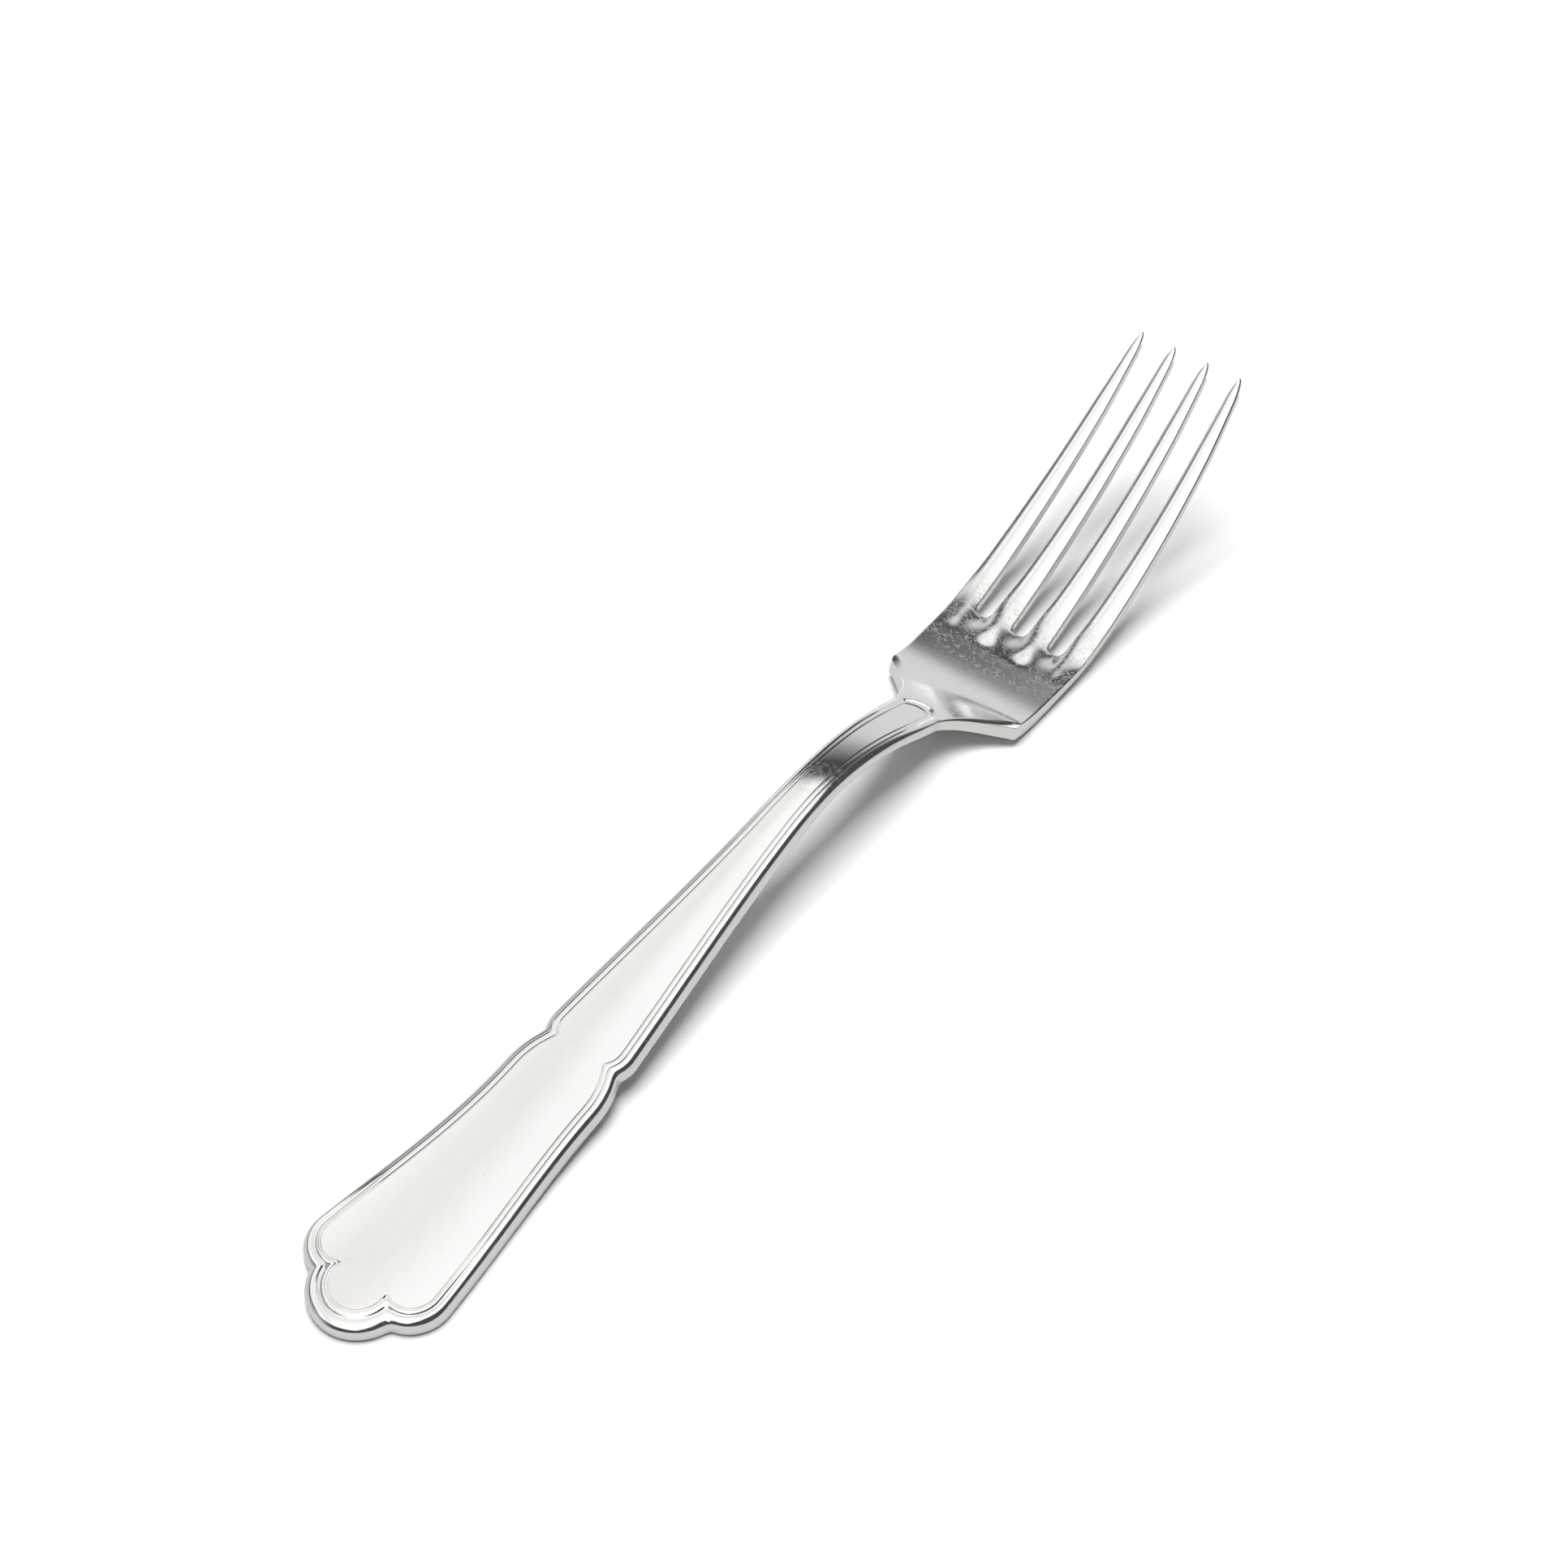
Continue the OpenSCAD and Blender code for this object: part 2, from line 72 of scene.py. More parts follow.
# Border: the worn edge, then the centres, half-widths and depths of two grooves. Places are
# distances from the outline.
EDGE_ROUND = 1.0
EDGE_POWER = 1.65
GROOVE_1 = 1.25
GROOVE_2 = 2.06
GROOVE_1_HALF = 0.24
GROOVE_2_HALF = 0.2
GROOVE_1_DEPTH = 0.2
GROOVE_2_DEPTH = 0.17
BORDER_END = 2.5
BORDER_CORNER = 0.06
RIM_SAG = 0.09
RIM_SAG_MORE = 0.1
THREAD_DROP = 0.06
PANEL_DROP = 0.1
STEM_CROWN = 0.4
END_BORDER_SHARE = 1.45
LOBE_BORDER_SHARE = 1.25
NECK_BORDER_SHARE = 0.95
# Round the lobes, up to LOBE_S, each groove is deeper and wider by these shares
LOBE_S = 12
LOBE_FADE = 12
GROOVE_1_DEEPER = 1.3
GROOVE_2_DEEPER = 0.7
GROOVE_1_WIDER = 0.8
GROOVE_2_WIDER = 0.15
# The outer groove runs out before the collar and the inner one gets fainter. Their arcs at the
# collar and at the panel's end have a depth of their own.
SIDE_FADE_FROM = 10
SIDE_FADE = 7
INNER_FADE_SHARE = 0.5
OUTER_ARC_SHARE = 2
INNER_ARC_SHARE = 0.7
ARC_BLEND = 0.3
# Lengths before the collar over which the crown and the edge's roundness go over to the head's
CROWN_FADE = 26
EDGE_FADE = 12

# Neck
NECK_LEN = 35.2
NECK_W = 7
NECK_DIP = 9
COLLAR_W = 8.4

# Head
SHOULDER_W = 24
ROOT_W = 24.5
REAR_LEN = 10.7
HEAD_LEN = 27.6
HEAD_ROUND = 0.32
BEVEL_W = 0.9
BEVEL_D = 0.65
BEVEL_POWER = 1.15
ROUND_POWER = 2
DISH_D = 0.65
DISH_FROM = 1
DISH_BEYOND = 8
# The collar's arc ends this far into the head
PATTERN_LEN = 3
PATTERN_FADE = 0.8
# Ridges between the dimples: how far behind the root each starts, its width as a share of half
# a tine, and how it turns into the tine's rounded top
RIDGE_LEN = 5.6
SPEAR_START = 0.3
SPEAR_END = 0.95
SPEAR_RUN = 11
SPEAR_H_SHARE = 0.9
SPEAR_PAST = 0.5
SPEAR_FADE = 8
DIMPLE_D = 0.7
# Extra hollow right behind each slot root
HOLLOW_D = 0.28
HOLLOW_HALF = 1.4
HOLLOW_LEN = 4.2
HOLLOW_PAST = 1
HOLLOW_FADE = 7
# The whole blank is lower round the roots, most at SINK_BEHIND before them
ROOT_SINK = 0.22
ROOT_SINK_LEN = 8.5
SINK_BEHIND = 1.8

# Tines
TINE_LEN = 52.4
ROOT_PITCH = 6.85
TIP_PITCH = 6.1
SLOT_ROOT_W = 2.76
SLOT_TIP_W = 3.75
TIP_W = 20.4
CROWN_H = 0.5
CROWN_BEFORE = 1
CROWN_RUN = 9
POINT_LEN = 14
POINT_DROP = 0.31
POINT_SOFT = 0.1
# Length of the round point itself, at the end of that taper, and the angle up to its last row
ROUND_LEN = 4.25
ROUND_TURN = 87
TINE_ROUND = 0.2
# The head's rounded sides turn into the tines' from here before the root
SIDE_TURN_FROM = 4
SIDE_TURN_RUN = 6

# Thickness
HANDLE_T = 3.05
EDGE_T = 2.95
NECK_EDGE_T = 1.9
CREST_T = 3.2
HEAD_T = 3
HEAD_EDGE_T = 2.75
TINE_ROOT_T = 1.8
TINE_TIP_T = 1.15
BACK_ROUND = 0.5
BACK_EDGE = 0.25
# Share of the half-width over which the back deepens from the edge wall
BACK_SLOPE = 0.45
# The edge wall thins between these shares of the handle's upper part and of the neck
THIN_FROM_SHARE = 0.75
THIN_TO_SHARE = 0.65

# Bends: lengths and angles of the side profile
REST_RUN = 19.5
RISE_RUN = 35
RISE_ANGLE = 10.7
CREST_RUN = 28.5
NECK_ANGLE = 24.1
BELLY_RUN = 7.5
BELLY_FLAT = 5
BOWL_RUN = 14.8
BOWL_ANGLE = 22.5
TIP_ANGLE = 42
BEND_BLEND = 3.0
BLEND_PASSES = 2
# Keeps the soft bends clear of the floor
CLEARANCE = 0.01

COLLAR_S = HANDLE_LEN + NECK_LEN
HEAD_CORNER_S = COLLAR_S + REAR_LEN
ROOT_S = COLLAR_S + HEAD_LEN
TIP_S = ROOT_S + TINE_LEN
POINT_S = TIP_S - POINT_LEN
SLOT_R = SLOT_ROOT_W / 2


# Curves
def mix(a, b, t):
    return a + (b - a) * t


def steps(a, b, count):
    """Evenly spaced places after a, up to and with b."""
    return mix(a, b, np.arange(1, count + 1) / count)


def ease(t):
    c = np.clip(t, 0, 1)
    return c * c * (3 - 2 * c)


def curve(t, p, q, m0, m1, run):
    """Curve from height p to q over a run, with the slopes m0 and m1 at its ends."""
    heights = (1 + 2 * t) * (1 - t) ** 2 * p + t * t * (3 - 2 * t) * q
    return heights + run * t * (1 - t) * ((1 - t) * m0 - t * m1)


def soft_min(a, b, r):
    return (a + b - np.sqrt((a - b) ** 2 + r * r)) / 2


# The bent side profile
def rise_of(run, a, b):
    return run / radians(b - a) * (cos(radians(a)) - cos(radians(b)))


GRIP_RUN = HANDLE_LEN - REST_RUN - RISE_RUN
LIFT = (
    HANDLE_T - HEAD_T + rise_of(RISE_RUN, 0, RISE_ANGLE) + GRIP_RUN * sin(radians(RISE_ANGLE))
    + rise_of(CREST_RUN, RISE_ANGLE, -NECK_ANGLE) + rise_of(BELLY_RUN, -NECK_ANGLE, 0)
)
NECK_RUN = LIFT / sin(radians(NECK_ANGLE))
FLAT_S = HANDLE_LEN + CREST_RUN + NECK_RUN + BELLY_RUN
BOWL_END_S = FLAT_S + BELLY_FLAT + BOWL_RUN
BENDS = [
    (REST_RUN, 0),
    (RISE_RUN, RISE_ANGLE),
    (GRIP_RUN, 0),
    (CREST_RUN, -RISE_ANGLE - NECK_ANGLE),
    (NECK_RUN, 0),
    (BELLY_RUN, NECK_ANGLE),
    (BELLY_FLAT, 0),
    (BOWL_RUN, BOWL_ANGLE),
    (TIP_S - BOWL_END_S, TIP_ANGLE - BOWL_ANGLE),
]


def side_profile(step=0.05, beyond=6):
    """Stations, y, z and heading of the rim's middle line. The bends run softly into each other."""
    ends = np.cumsum([0] + [run for run, _ in BENDS])
    turns = np.cumsum([0] + [turn for _, turn in BENDS])
    s = np.arange(-beyond, TIP_S + beyond, step)
    heading = np.radians(np.interp(s, ends, turns))
    last_turn = radians(BENDS[-1][1]) / BENDS[-1][0]
    heading = heading + np.maximum(s - TIP_S, 0) * last_turn
    window = np.ones(int(BEND_BLEND / step) | 1)
    window /= len(window)
    pad = len(window) // 2
    for _ in range(BLEND_PASSES):
        heading = np.convolve(np.pad(heading, pad, mode="edge"), window, mode="valid")
    y = np.concatenate([[0], np.cumsum(np.cos((heading[1:] + heading[:-1]) / 2)) * step])
    z = np.concatenate([[0], np.cumsum(np.sin((heading[1:] + heading[:-1]) / 2)) * step])
    start = np.interp(0, s, np.arange(len(s)))
    y -= np.interp(start, np.arange(len(s)), y)
    z -= np.interp(start, np.arange(len(s)), z)
    return s, y + cad_low[1] / MM, z + HANDLE_T + CLEARANCE, heading


PROFILE = side_profile()


def bent(x, s, n):
    """Places in the frame, in millimetres, of places on the flat blank."""
    stations, y, z, heading = PROFILE
    a = np.interp(s, stations, heading)
    bent_y = np.interp(s, stations, y) - n * np.sin(a)
    bent_z = np.interp(s, stations, z) + n * np.cos(a)
    return np.stack([x, bent_y, bent_z], axis=-1)


# Handle and neck: outline, and the lines that run inside it
END_C = np.array([0, END_R])
SHOULDER_C = np.array([HANDLE_W / 2 - SHOULDER_R, SHOULDER_S])
WAIST_C = np.array([WAIST_W / 2 - WAIST_R, WAIST_S])
UPPER_C = np.array([UPPER_W / 2 - UPPER_R, UPPER_S])
DIP_S = HANDLE_LEN + NECK_DIP


def on_circle(c, r, angle):
    return c + r * np.array([cos(radians(angle)), sin(radians(angle))])


SIDE_START = on_circle(SHOULDER_C, SHOULDER_R, SIDE_ANGLE)
UPPER_END = on_circle(UPPER_C, UPPER_R, UPPER_ANGLE)
SIDE_SLOPE = -tan(radians(SIDE_ANGLE))
UPPER_SLOPE = -tan(radians(UPPER_ANGLE))

# Rows along each stretch of the outline
END_ROWS = 42
SHOULDER_ROWS = 42
SIDE_ROWS = 64
WAIST_ROWS = 26
UPPER_ROWS = 22
TAPER_ROWS = 84
# How many rows each side of a corner are rounded, and how often
CORNER_ROWS = 7
CORNER_PASSES = 6


def meet(c, r, e, q):
    """Where two circles meet, on the outer side."""
    v = e - c
    length = hypot(*v)
    a = (r * r - q * q + length * length) / (2 * length)
    return c + a * v / length + sqrt(max(r * r - a * a, 0)) * np.array([v[1], -v[0]]) / length


def angle_at(c, p):
    return degrees(atan2(p[1] - c[1], p[0] - c[0]))


def lobe(c, r, end_r, start, end, rows, first):
    """Points on an arc whose radius goes from r to end_r, from row first on."""
    t = np.arange(first, rows + 1) / rows
    a = np.radians(mix(start, end, t))
    return c + mix(r, end_r, t)[:, None] * np.stack([np.cos(a), np.sin(a)], axis=-1)


def side_x(s):
    run = WAIST_S - SIDE_START[1]
    return curve((s - SIDE_START[1]) / run, SIDE_START[0], WAIST_W / 2, SIDE_SLOPE, 0, run)


def stem_x(s):
    run = DIP_S - UPPER_END[1]
    before = curve((s - UPPER_END[1]) / run, UPPER_END[0], NECK_W / 2, UPPER_SLOPE, 0, run)
    after = mix(NECK_W / 2, COLLAR_W / 2, ease((s - DIP_S) / (COLLAR_S - DIP_S)))
    return np.where(s < DIP_S, before, after)


def stem_border(s):
    before = mix(1, NECK_BORDER_SHARE, ease((s - UPPER_END[1]) / (DIP_S - UPPER_END[1])))
    after = mix(NECK_BORDER_SHARE, 1, ease((s - DIP_S) / (COLLAR_S - DIP_S)))
    return np.where(s < DIP_S, before, after)


def stem_line(s, d):
    return np.stack([stem_x(s) - d * stem_border(s), s], axis=-1)


def widened(d, share):
    return min(d, GROOVE_2) * share + max(d - GROOVE_2, 0)


def handle_line(d):
    """Right-hand half of the line at a distance d inside the handle's outline."""
    end_in = END_R - widened(d, END_BORDER_SHARE)
    lobe_in = SHOULDER_R - widened(d, LOBE_BORDER_SHARE)
    cusp = meet(END_C, end_in, SHOULDER_C, lobe_in)
    notch = meet(WAIST_C, WAIST_R - d, UPPER_C, UPPER_R - d)
    side_s = mix(SIDE_START[1], WAIST_S, np.arange(1, SIDE_ROWS) / SIDE_ROWS)
    taper_s = steps(UPPER_END[1], HANDLE_LEN, TAPER_ROWS)
    waist_in, upper_in = WAIST_R - d, UPPER_R - d
    line = np.concatenate([
        lobe(END_C, end_in, end_in, -90, angle_at(END_C, cusp), END_ROWS, 0),
        lobe(SHOULDER_C, lobe_in, SHOULDER_R - d, angle_at(SHOULDER_C, cusp), SIDE_ANGLE,
             SHOULDER_ROWS, 1),
        np.stack([side_x(side_s) - d, side_s], axis=-1),
        lobe(WAIST_C, waist_in, waist_in, 0, angle_at(WAIST_C, notch), WAIST_ROWS, 0),
        lobe(UPPER_C, upper_in, upper_in, angle_at(UPPER_C, notch), UPPER_ANGLE, UPPER_ROWS, 1),
        stem_line(taper_s, d),
    ])
    for corner in (END_ROWS, END_ROWS + SHOULDER_ROWS + SIDE_ROWS + WAIST_ROWS):
        first, last = corner - CORNER_ROWS, corner + CORNER_ROWS
        for _ in range(CORNER_PASSES):
            here = line[first:last + 1]
            before, after = line[first - 1:last], line[first + 1:last + 2]
            line[first:last + 1] = (before + 2 * here + after) / 4
    return line


# Places of the border's columns, seen from the edge inwards
ROUND_COLS = 7
LAST_BORDER_COLS = 4
GROOVE_SPREAD = np.array([-1, -0.7, -0.45, -0.2, 0.0, 0.2, 0.45, 0.7, 1])
BORDER_D = np.concatenate([
    EDGE_ROUND * (1 - np.cos(np.linspace(0, pi / 2, ROUND_COLS))),
    [(EDGE_ROUND + GROOVE_1 - GROOVE_1_HALF) / 2],
    GROOVE_1 + GROOVE_1_HALF * GROOVE_SPREAD,
    [(GROOVE_1 + GROOVE_1_HALF + GROOVE_2 - GROOVE_2_HALF) / 2],
    GROOVE_2 + GROOVE_2_HALF * GROOVE_SPREAD,
    steps(GROOVE_2 + GROOVE_2_HALF, BORDER_END, LAST_BORDER_COLS),
])
PANEL_COLS = 9
FIRST_FAN_SHARE = 0.85


def spine(line):
    """Stations on the middle line at which the handle's rows end."""
    s = line[:, 1].copy()
    top = END_ROWS + SHOULDER_ROWS
    cusp = line[END_ROWS]
    a = radians(angle_at(SHOULDER_C, cusp))
    clear = min(cusp[1] + cusp[0] / tan(a), mix(cusp[1], s[top], FIRST_FAN_SHARE))
    s[END_ROWS + 1:top] = mix(clear, s[top], np.arange(top - END_ROWS - 1) / (SHOULDER_ROWS - 1))
    return s


NECK_ROWS = 90
CLOSE_ROWS = 24
CLOSE_LEN = 2.6


def neck_stations():
    """Dense where the border closes in front of the collar."""
    close = COLLAR_S - CLOSE_LEN
    return np.concatenate([steps(HANDLE_LEN, close, NECK_ROWS), steps(close, COLLAR_S, CLOSE_ROWS)])


def mirrored(right, sign=1):
    """A grid of the right-hand half, seen from the edge inwards, with its left half before it."""
    return np.concatenate([sign * right, right[:, -2::-1]], axis=1)


def stem_plan():
    """x, s and border distance of every point across the handle and the neck.

    Also gives the row where the neck starts.
    """
    lines = np.stack([handle_line(d) for d in BORDER_D])
    stations = neck_stations()
    neck = np.stack([stem_line(stations, d) for d in BORDER_D])
    lines = np.concatenate([lines, neck], axis=1)
    inner = lines[-1]
    mid_s = np.concatenate([spine(inner[:-len(stations)]), stations])
    t = (np.arange(1, PANEL_COLS + 2) / (PANEL_COLS + 1))[:, None]
    panel_x = inner[:, 0] * (1 - t)
    panel_s = mix(inner[:, 1], mid_s, t)
    x = np.concatenate([lines[:, :, 0], panel_x]).T
    s = np.concatenate([lines[:, :, 1], panel_s]).T
    panel_d = BORDER_END + inner[:, 0] * t
    d = np.concatenate([np.repeat(BORDER_D[:, None], len(inner), axis=1), panel_d]).T
    return mirrored(x, -1), mirrored(s), mirrored(d), len(inner) - len(stations) - 1


# Heights of the stem. Where the border closes, the panel's end and the collar's groove are arcs
# that bulge to the tines.
PANEL_END_S = COLLAR_S + 0.65
PANEL_END_SAG = 0.75
PANEL_END_HALF = 1.9
END_STRETCH = 1.9
# The crown falls no further than to here, as stem_spread counts
MOST_SPREAD = 1.2


def groove(d, centre, half, depth):
    return -depth * (1 - ease(np.abs(d - centre) / half))


def border_coordinate(x, s, d):
    """Distance from the edge as the border's lines see it, which turns round the panel's end."""
    end_s = PANEL_END_S - PANEL_END_SAG * (x / PANEL_END_HALF) ** 2
    return soft_min(d, GROOVE_2 + (end_s - s) / END_STRETCH, BORDER_CORNER)


def relief(x, s, d):
    """Grooves, thread and panel step."""
    across = border_coordinate(x, s, d)
    more = 1 - ease((s - LOBE_S) / LOBE_FADE)
    turned = ease((d - across) / ARC_BLEND)
    side_fade = ease((s - COLLAR_S + SIDE_FADE_FROM) / SIDE_FADE)
    outer_share = mix(1 - side_fade, OUTER_ARC_SHARE, turned)
    outer_d = GROOVE_1_DEPTH * (1 + GROOVE_1_DEEPER * more) * outer_share
    inner_share = mix(1 - INNER_FADE_SHARE * side_fade, INNER_ARC_SHARE, turned)
    inner_d = GROOVE_2_DEPTH * (1 + GROOVE_2_DEEPER * more) * inner_share
    outer = groove(across, GROOVE_1, GROOVE_1_HALF * (1 + GROOVE_1_WIDER * more), outer_d)
    inner = groove(across, GROOVE_2, GROOVE_2_HALF * (1 + GROOVE_2_WIDER * more), inner_d)
    thread = -THREAD_DROP * ease((across - GROOVE_1 + GROOVE_1_HALF) / (2 * GROOVE_1_HALF))
    step = ease((across - GROOVE_2 + GROOVE_2_HALF) / (BORDER_END - GROOVE_2))
    return outer + inner + thread - (PANEL_DROP - THREAD_DROP) * step


def stem_spread(x, s):
    """0 on the middle line and 1 at the edge of a smooth form that follows the handle."""
    run = UPPER_S - SIDE_START[1]
    t = np.clip((s - SIDE_START[1]) / run, 0, 1)
    wide = curve(t, SIDE_START[0], UPPER_W / 2, SIDE_SLOPE, UPPER_SLOPE, run)
    wide = np.where(s > UPPER_S, stem_x(np.maximum(s, UPPER_S + 1)), wide)
    ahead = np.clip((SIDE_START[1] - s) / SIDE_START[1], 0, 1)
    return (x / wide) ** 2 + ahead ** 2


def near_collar(s, run):
    """0 up to that length before the collar, and 1 at the collar."""
    return ease((s - COLLAR_S + run) / run)


def quarter(d, r):
    """Drop of a rounded edge of radius r at a distance d from it."""
    return np.sqrt(np.maximum(r * r - (r - np.clip(d, 0, r)) ** 2, 0)) - r


def worn_quarter(d, r):
    """The same with a flatter middle, near 45 degrees."""
    t = 1 - np.clip(d / r, 0, 1)
    return r * (np.maximum(1 - t ** EDGE_POWER, 0) ** (1 / EDGE_POWER) - 1)


def stem_top(x, s, d):
    crown = STEM_CROWN * (1 - near_collar(s, CROWN_FADE))
    base = crown * (1 - np.minimum(stem_spread(x, s), MOST_SPREAD))
    rim = -RIM_SAG * np.clip((EDGE_ROUND + RIM_SAG_MORE - d) / EDGE_ROUND, 0, 1) ** 2
    edge = worn_quarter(d, mix(EDGE_ROUND, HEAD_ROUND, near_collar(s, EDGE_FADE)))
    return base + edge + rim + relief(x, s, d)


def stem_t(s):
    before = mix(HANDLE_T, CREST_T, ease((s - REST_RUN) / (HANDLE_LEN - REST_RUN)))
    return np.where(s < HANDLE_LEN, before, mix(CREST_T, HEAD_T, ease((s - HANDLE_LEN) / NECK_LEN)))


def stem_edge_t(s):
    thin_from = mix(UPPER_S, HANDLE_LEN, THIN_FROM_SHARE)
    thin_to = mix(HANDLE_LEN, COLLAR_S, THIN_TO_SHARE)
    return mix(EDGE_T, NECK_EDGE_T, ease((s - thin_from) / (thin_to - thin_from)))


def stem_back(x, s, d):
    inwards = 1 - np.sqrt(stem_spread(x, s))
    deep = mix(stem_edge_t(s), stem_t(s), ease(inwards / BACK_SLOPE))
    return -deep - quarter(d, mix(BACK_ROUND, HEAD_ROUND, near_collar(s, EDGE_FADE)))


# Head and tines
TINES = (1, 2, 3, 4)
SLOTS = (-1, 0, 1)
# The rounded tops fall no further than this share of their height
MOST_CROWN_DROP = 1.3
REAR_PULL_X_SHARE = 0.23
REAR_PULL_S_SHARE = 0.63
# Powers: how the sides bow in, how the slots widen from the root, and how square the root is
BOW_SHARE = 1.6
THIN_SHARE = 4.5
ROOT_POWER = 3
CORNER_SOFT = 0.35
# The rear edge still acts this far past its corner
CORNER_REACH = 3
REAR_POINTS = 201
REAR_BEYOND = 6
# Stands for no edge near
FAR = 99.0


def rear_curve():
    """Half-widths along the rear edge, carried on straight past its corner."""
    t = np.linspace(0, 1, REAR_POINTS)[:, None]
    start = np.array([COLLAR_W / 2, COLLAR_S])
    pull_x = mix(COLLAR_W, SHOULDER_W, REAR_PULL_X_SHARE) / 2
    pull = np.array([pull_x, COLLAR_S + REAR_PULL_S_SHARE * REAR_LEN])
    end = np.array([SHOULDER_W / 2, HEAD_CORNER_S])
    line = (1 - t) ** 2 * start + 2 * t * (1 - t) * pull + t * t * end
    beyond = end + (end - pull) * REAR_BEYOND
    return np.vstack([line, beyond])


REAR = rear_curve()


def rear_x(s):
    return np.interp(s, REAR[:, 1], REAR[:, 0])


def rear_stretch(s):
    """Distance across x for each millimetre square to the rear edge."""
    h = 0.05
    after, before = s + h, np.maximum(s - h, COLLAR_S)
    slope = (rear_x(after) - rear_x(before)) / (after - before)
    return np.sqrt(1 + slope * slope)


def along(s):
    return np.clip((s - ROOT_S) / TINE_LEN, 0, 1)


def side_half(s):
    head = mix(SHOULDER_W, ROOT_W, (s - HEAD_CORNER_S) / (ROOT_S - HEAD_CORNER_S)) / 2
    return np.where(s < ROOT_S, head, mix(ROOT_W, TIP_W, along(s) ** BOW_SHARE) / 2)


def slot_x(k, s):
    return k * mix(ROOT_PITCH, TIP_PITCH, along(s) ** BOW_SHARE)


def slot_half(s):
    short = np.clip(1 - (s - ROOT_S) / SLOT_R, 0, 1)
    root = SLOT_R * np.maximum(1 - short ** ROOT_POWER, 0) ** (1 / ROOT_POWER)
    past = np.clip((s - ROOT_S - SLOT_R) / (TINE_LEN - SLOT_R), 0, 1)
    shaft = mix(SLOT_TIP_W, SLOT_ROOT_W, (1 - past) ** THIN_SHARE) / 2
    return np.where(s >= ROOT_S + SLOT_R, shaft, root)


def side_round(s):
    return mix(HEAD_ROUND, TINE_ROUND, ease((s - ROOT_S + SIDE_TURN_FROM) / SIDE_TURN_RUN))


def tine_left(n, s):
    return -side_half(s) if n == 1 else slot_x(n - 3, s) + slot_half(s)


def tine_right(n, s):
    return side_half(s) if n == 4 else slot_x(n - 2, s) - slot_half(s)


# Columns of one tine: the rounded edge by angle, then wider towards the middle
EDGE_COLS = 4
HALF_COLS = 6
COLUMN_POWER = 1.25
EDGE_STEPS = TINE_ROUND * (1 - np.cos(np.linspace(0, pi / 2, EDGE_COLS)))
INNER_STEPS = steps(0, 1, HALF_COLS + 1) ** COLUMN_POWER


def tine_columns(left, right):
    """x of a tine's columns between its two edges, which are arrays over the rows."""
    half = (right - left)[:, None] / 2
    edge = np.repeat(EDGE_STEPS[None, :], len(half), axis=0)
    inner = mix(edge[:, -1:], half, INNER_STEPS[None, :])
    inwards = np.concatenate([edge, inner], axis=1)
    return np.concatenate([left[:, None] + inwards, right[:, None] - inwards[:, -2::-1]], axis=1)


def crown_weight(s):
    return ease((s - ROOT_S + CROWN_BEFORE) / CROWN_RUN)


def ridge(s):
    return ease(1 - (ROOT_S - s) / RIDGE_LEN)


def palm(s):
    return ease((s - COLLAR_S - DISH_FROM) / (REAR_LEN + DISH_BEYOND)) * (1 - ridge(s))


def spear_width(s):
    """Share of a tine's half-width that its ridge takes, from its start behind the slot's root."""
    return mix(SPEAR_START, SPEAR_END, np.clip((s - ROOT_S + RIDGE_LEN) / SPEAR_RUN, 0, 1))


def cell_edge(k, s):
    """Middle line of slot k, or the blank's side for the outermost two."""
    return np.sign(k) * side_half(s) if abs(k) == 2 else slot_x(k, s)


def one_ridge(tine, x, s):
    """Height of one tine's ridge, which turns into its rounded top. v is 1 at the edges."""
    weight = crown_weight(s)
    left = mix(cell_edge(tine - 3, s), tine_left(tine, s), weight)
    right = mix(cell_edge(tine - 2, s), tine_right(tine, s), weight)
    v = (x - (left + right) / 2) / ((right - left) / 2)
    low_left = 0 if tine == 1 else -DIMPLE_D * (1 - weight)
    low_right = 0 if tine == 4 else -DIMPLE_D * (1 - weight)
    low = np.where(v < 0, low_left, low_right)
    round_top = mix(low, CROWN_H, 1 - np.clip(v * v, 0, MOST_CROWN_DROP))
    spear = mix(low, SPEAR_H_SHARE * CROWN_H, np.exp(-(v / spear_width(s)) ** 2))
    return mix(spear, round_top, ease((s - ROOT_S - SPEAR_PAST) / SPEAR_FADE))


def tine_crown(x, s):
    """Height of the ridges and of the tines' rounded tops, lower round the slots' roots."""
    nearest = np.clip(np.floor(x / slot_x(1, s)) + 3, 1, 4)
    height = np.zeros_like(x)
    for tine in TINES:
        height = np.where(nearest == tine, one_ridge(tine, x, s), height)
    behind = ease((s - ROOT_S + RIDGE_LEN) / (RIDGE_LEN - SINK_BEHIND))
    height = height - ROOT_SINK * behind * (1 - ease((s - ROOT_S + SINK_BEHIND) / ROOT_SINK_LEN))
    behind = ease((s - ROOT_S + HOLLOW_LEN) / HOLLOW_LEN)
    depth = HOLLOW_D * behind * (1 - ease((s - ROOT_S - HOLLOW_PAST) / HOLLOW_FADE))
    for k in SLOTS:
        height = height - depth * np.exp(-((x - slot_x(k, s)) / HOLLOW_HALF) ** 2)
    return height


def slot_gap(x, s):
    """Distance from the nearest slot."""
    gap = np.full_like(x, FAR)
    for k in SLOTS:
        across = np.abs(x - slot_x(k, s))
        behind = np.abs(np.minimum(s - ROOT_S - SLOT_R, 0))
        root = (across ** ROOT_POWER + behind ** ROOT_POWER) ** (1 / ROOT_POWER) - SLOT_R
        gap = np.minimum(gap, np.where(s < ROOT_S + SLOT_R, root, across - slot_half(s)))
    return np.maximum(gap, 0)


def bevelled(gap, wide, deep, power):
    t = np.clip(1 - gap / wide, 0, 1)
    return -deep * (1 - (1 - t ** power) ** (1 / power))


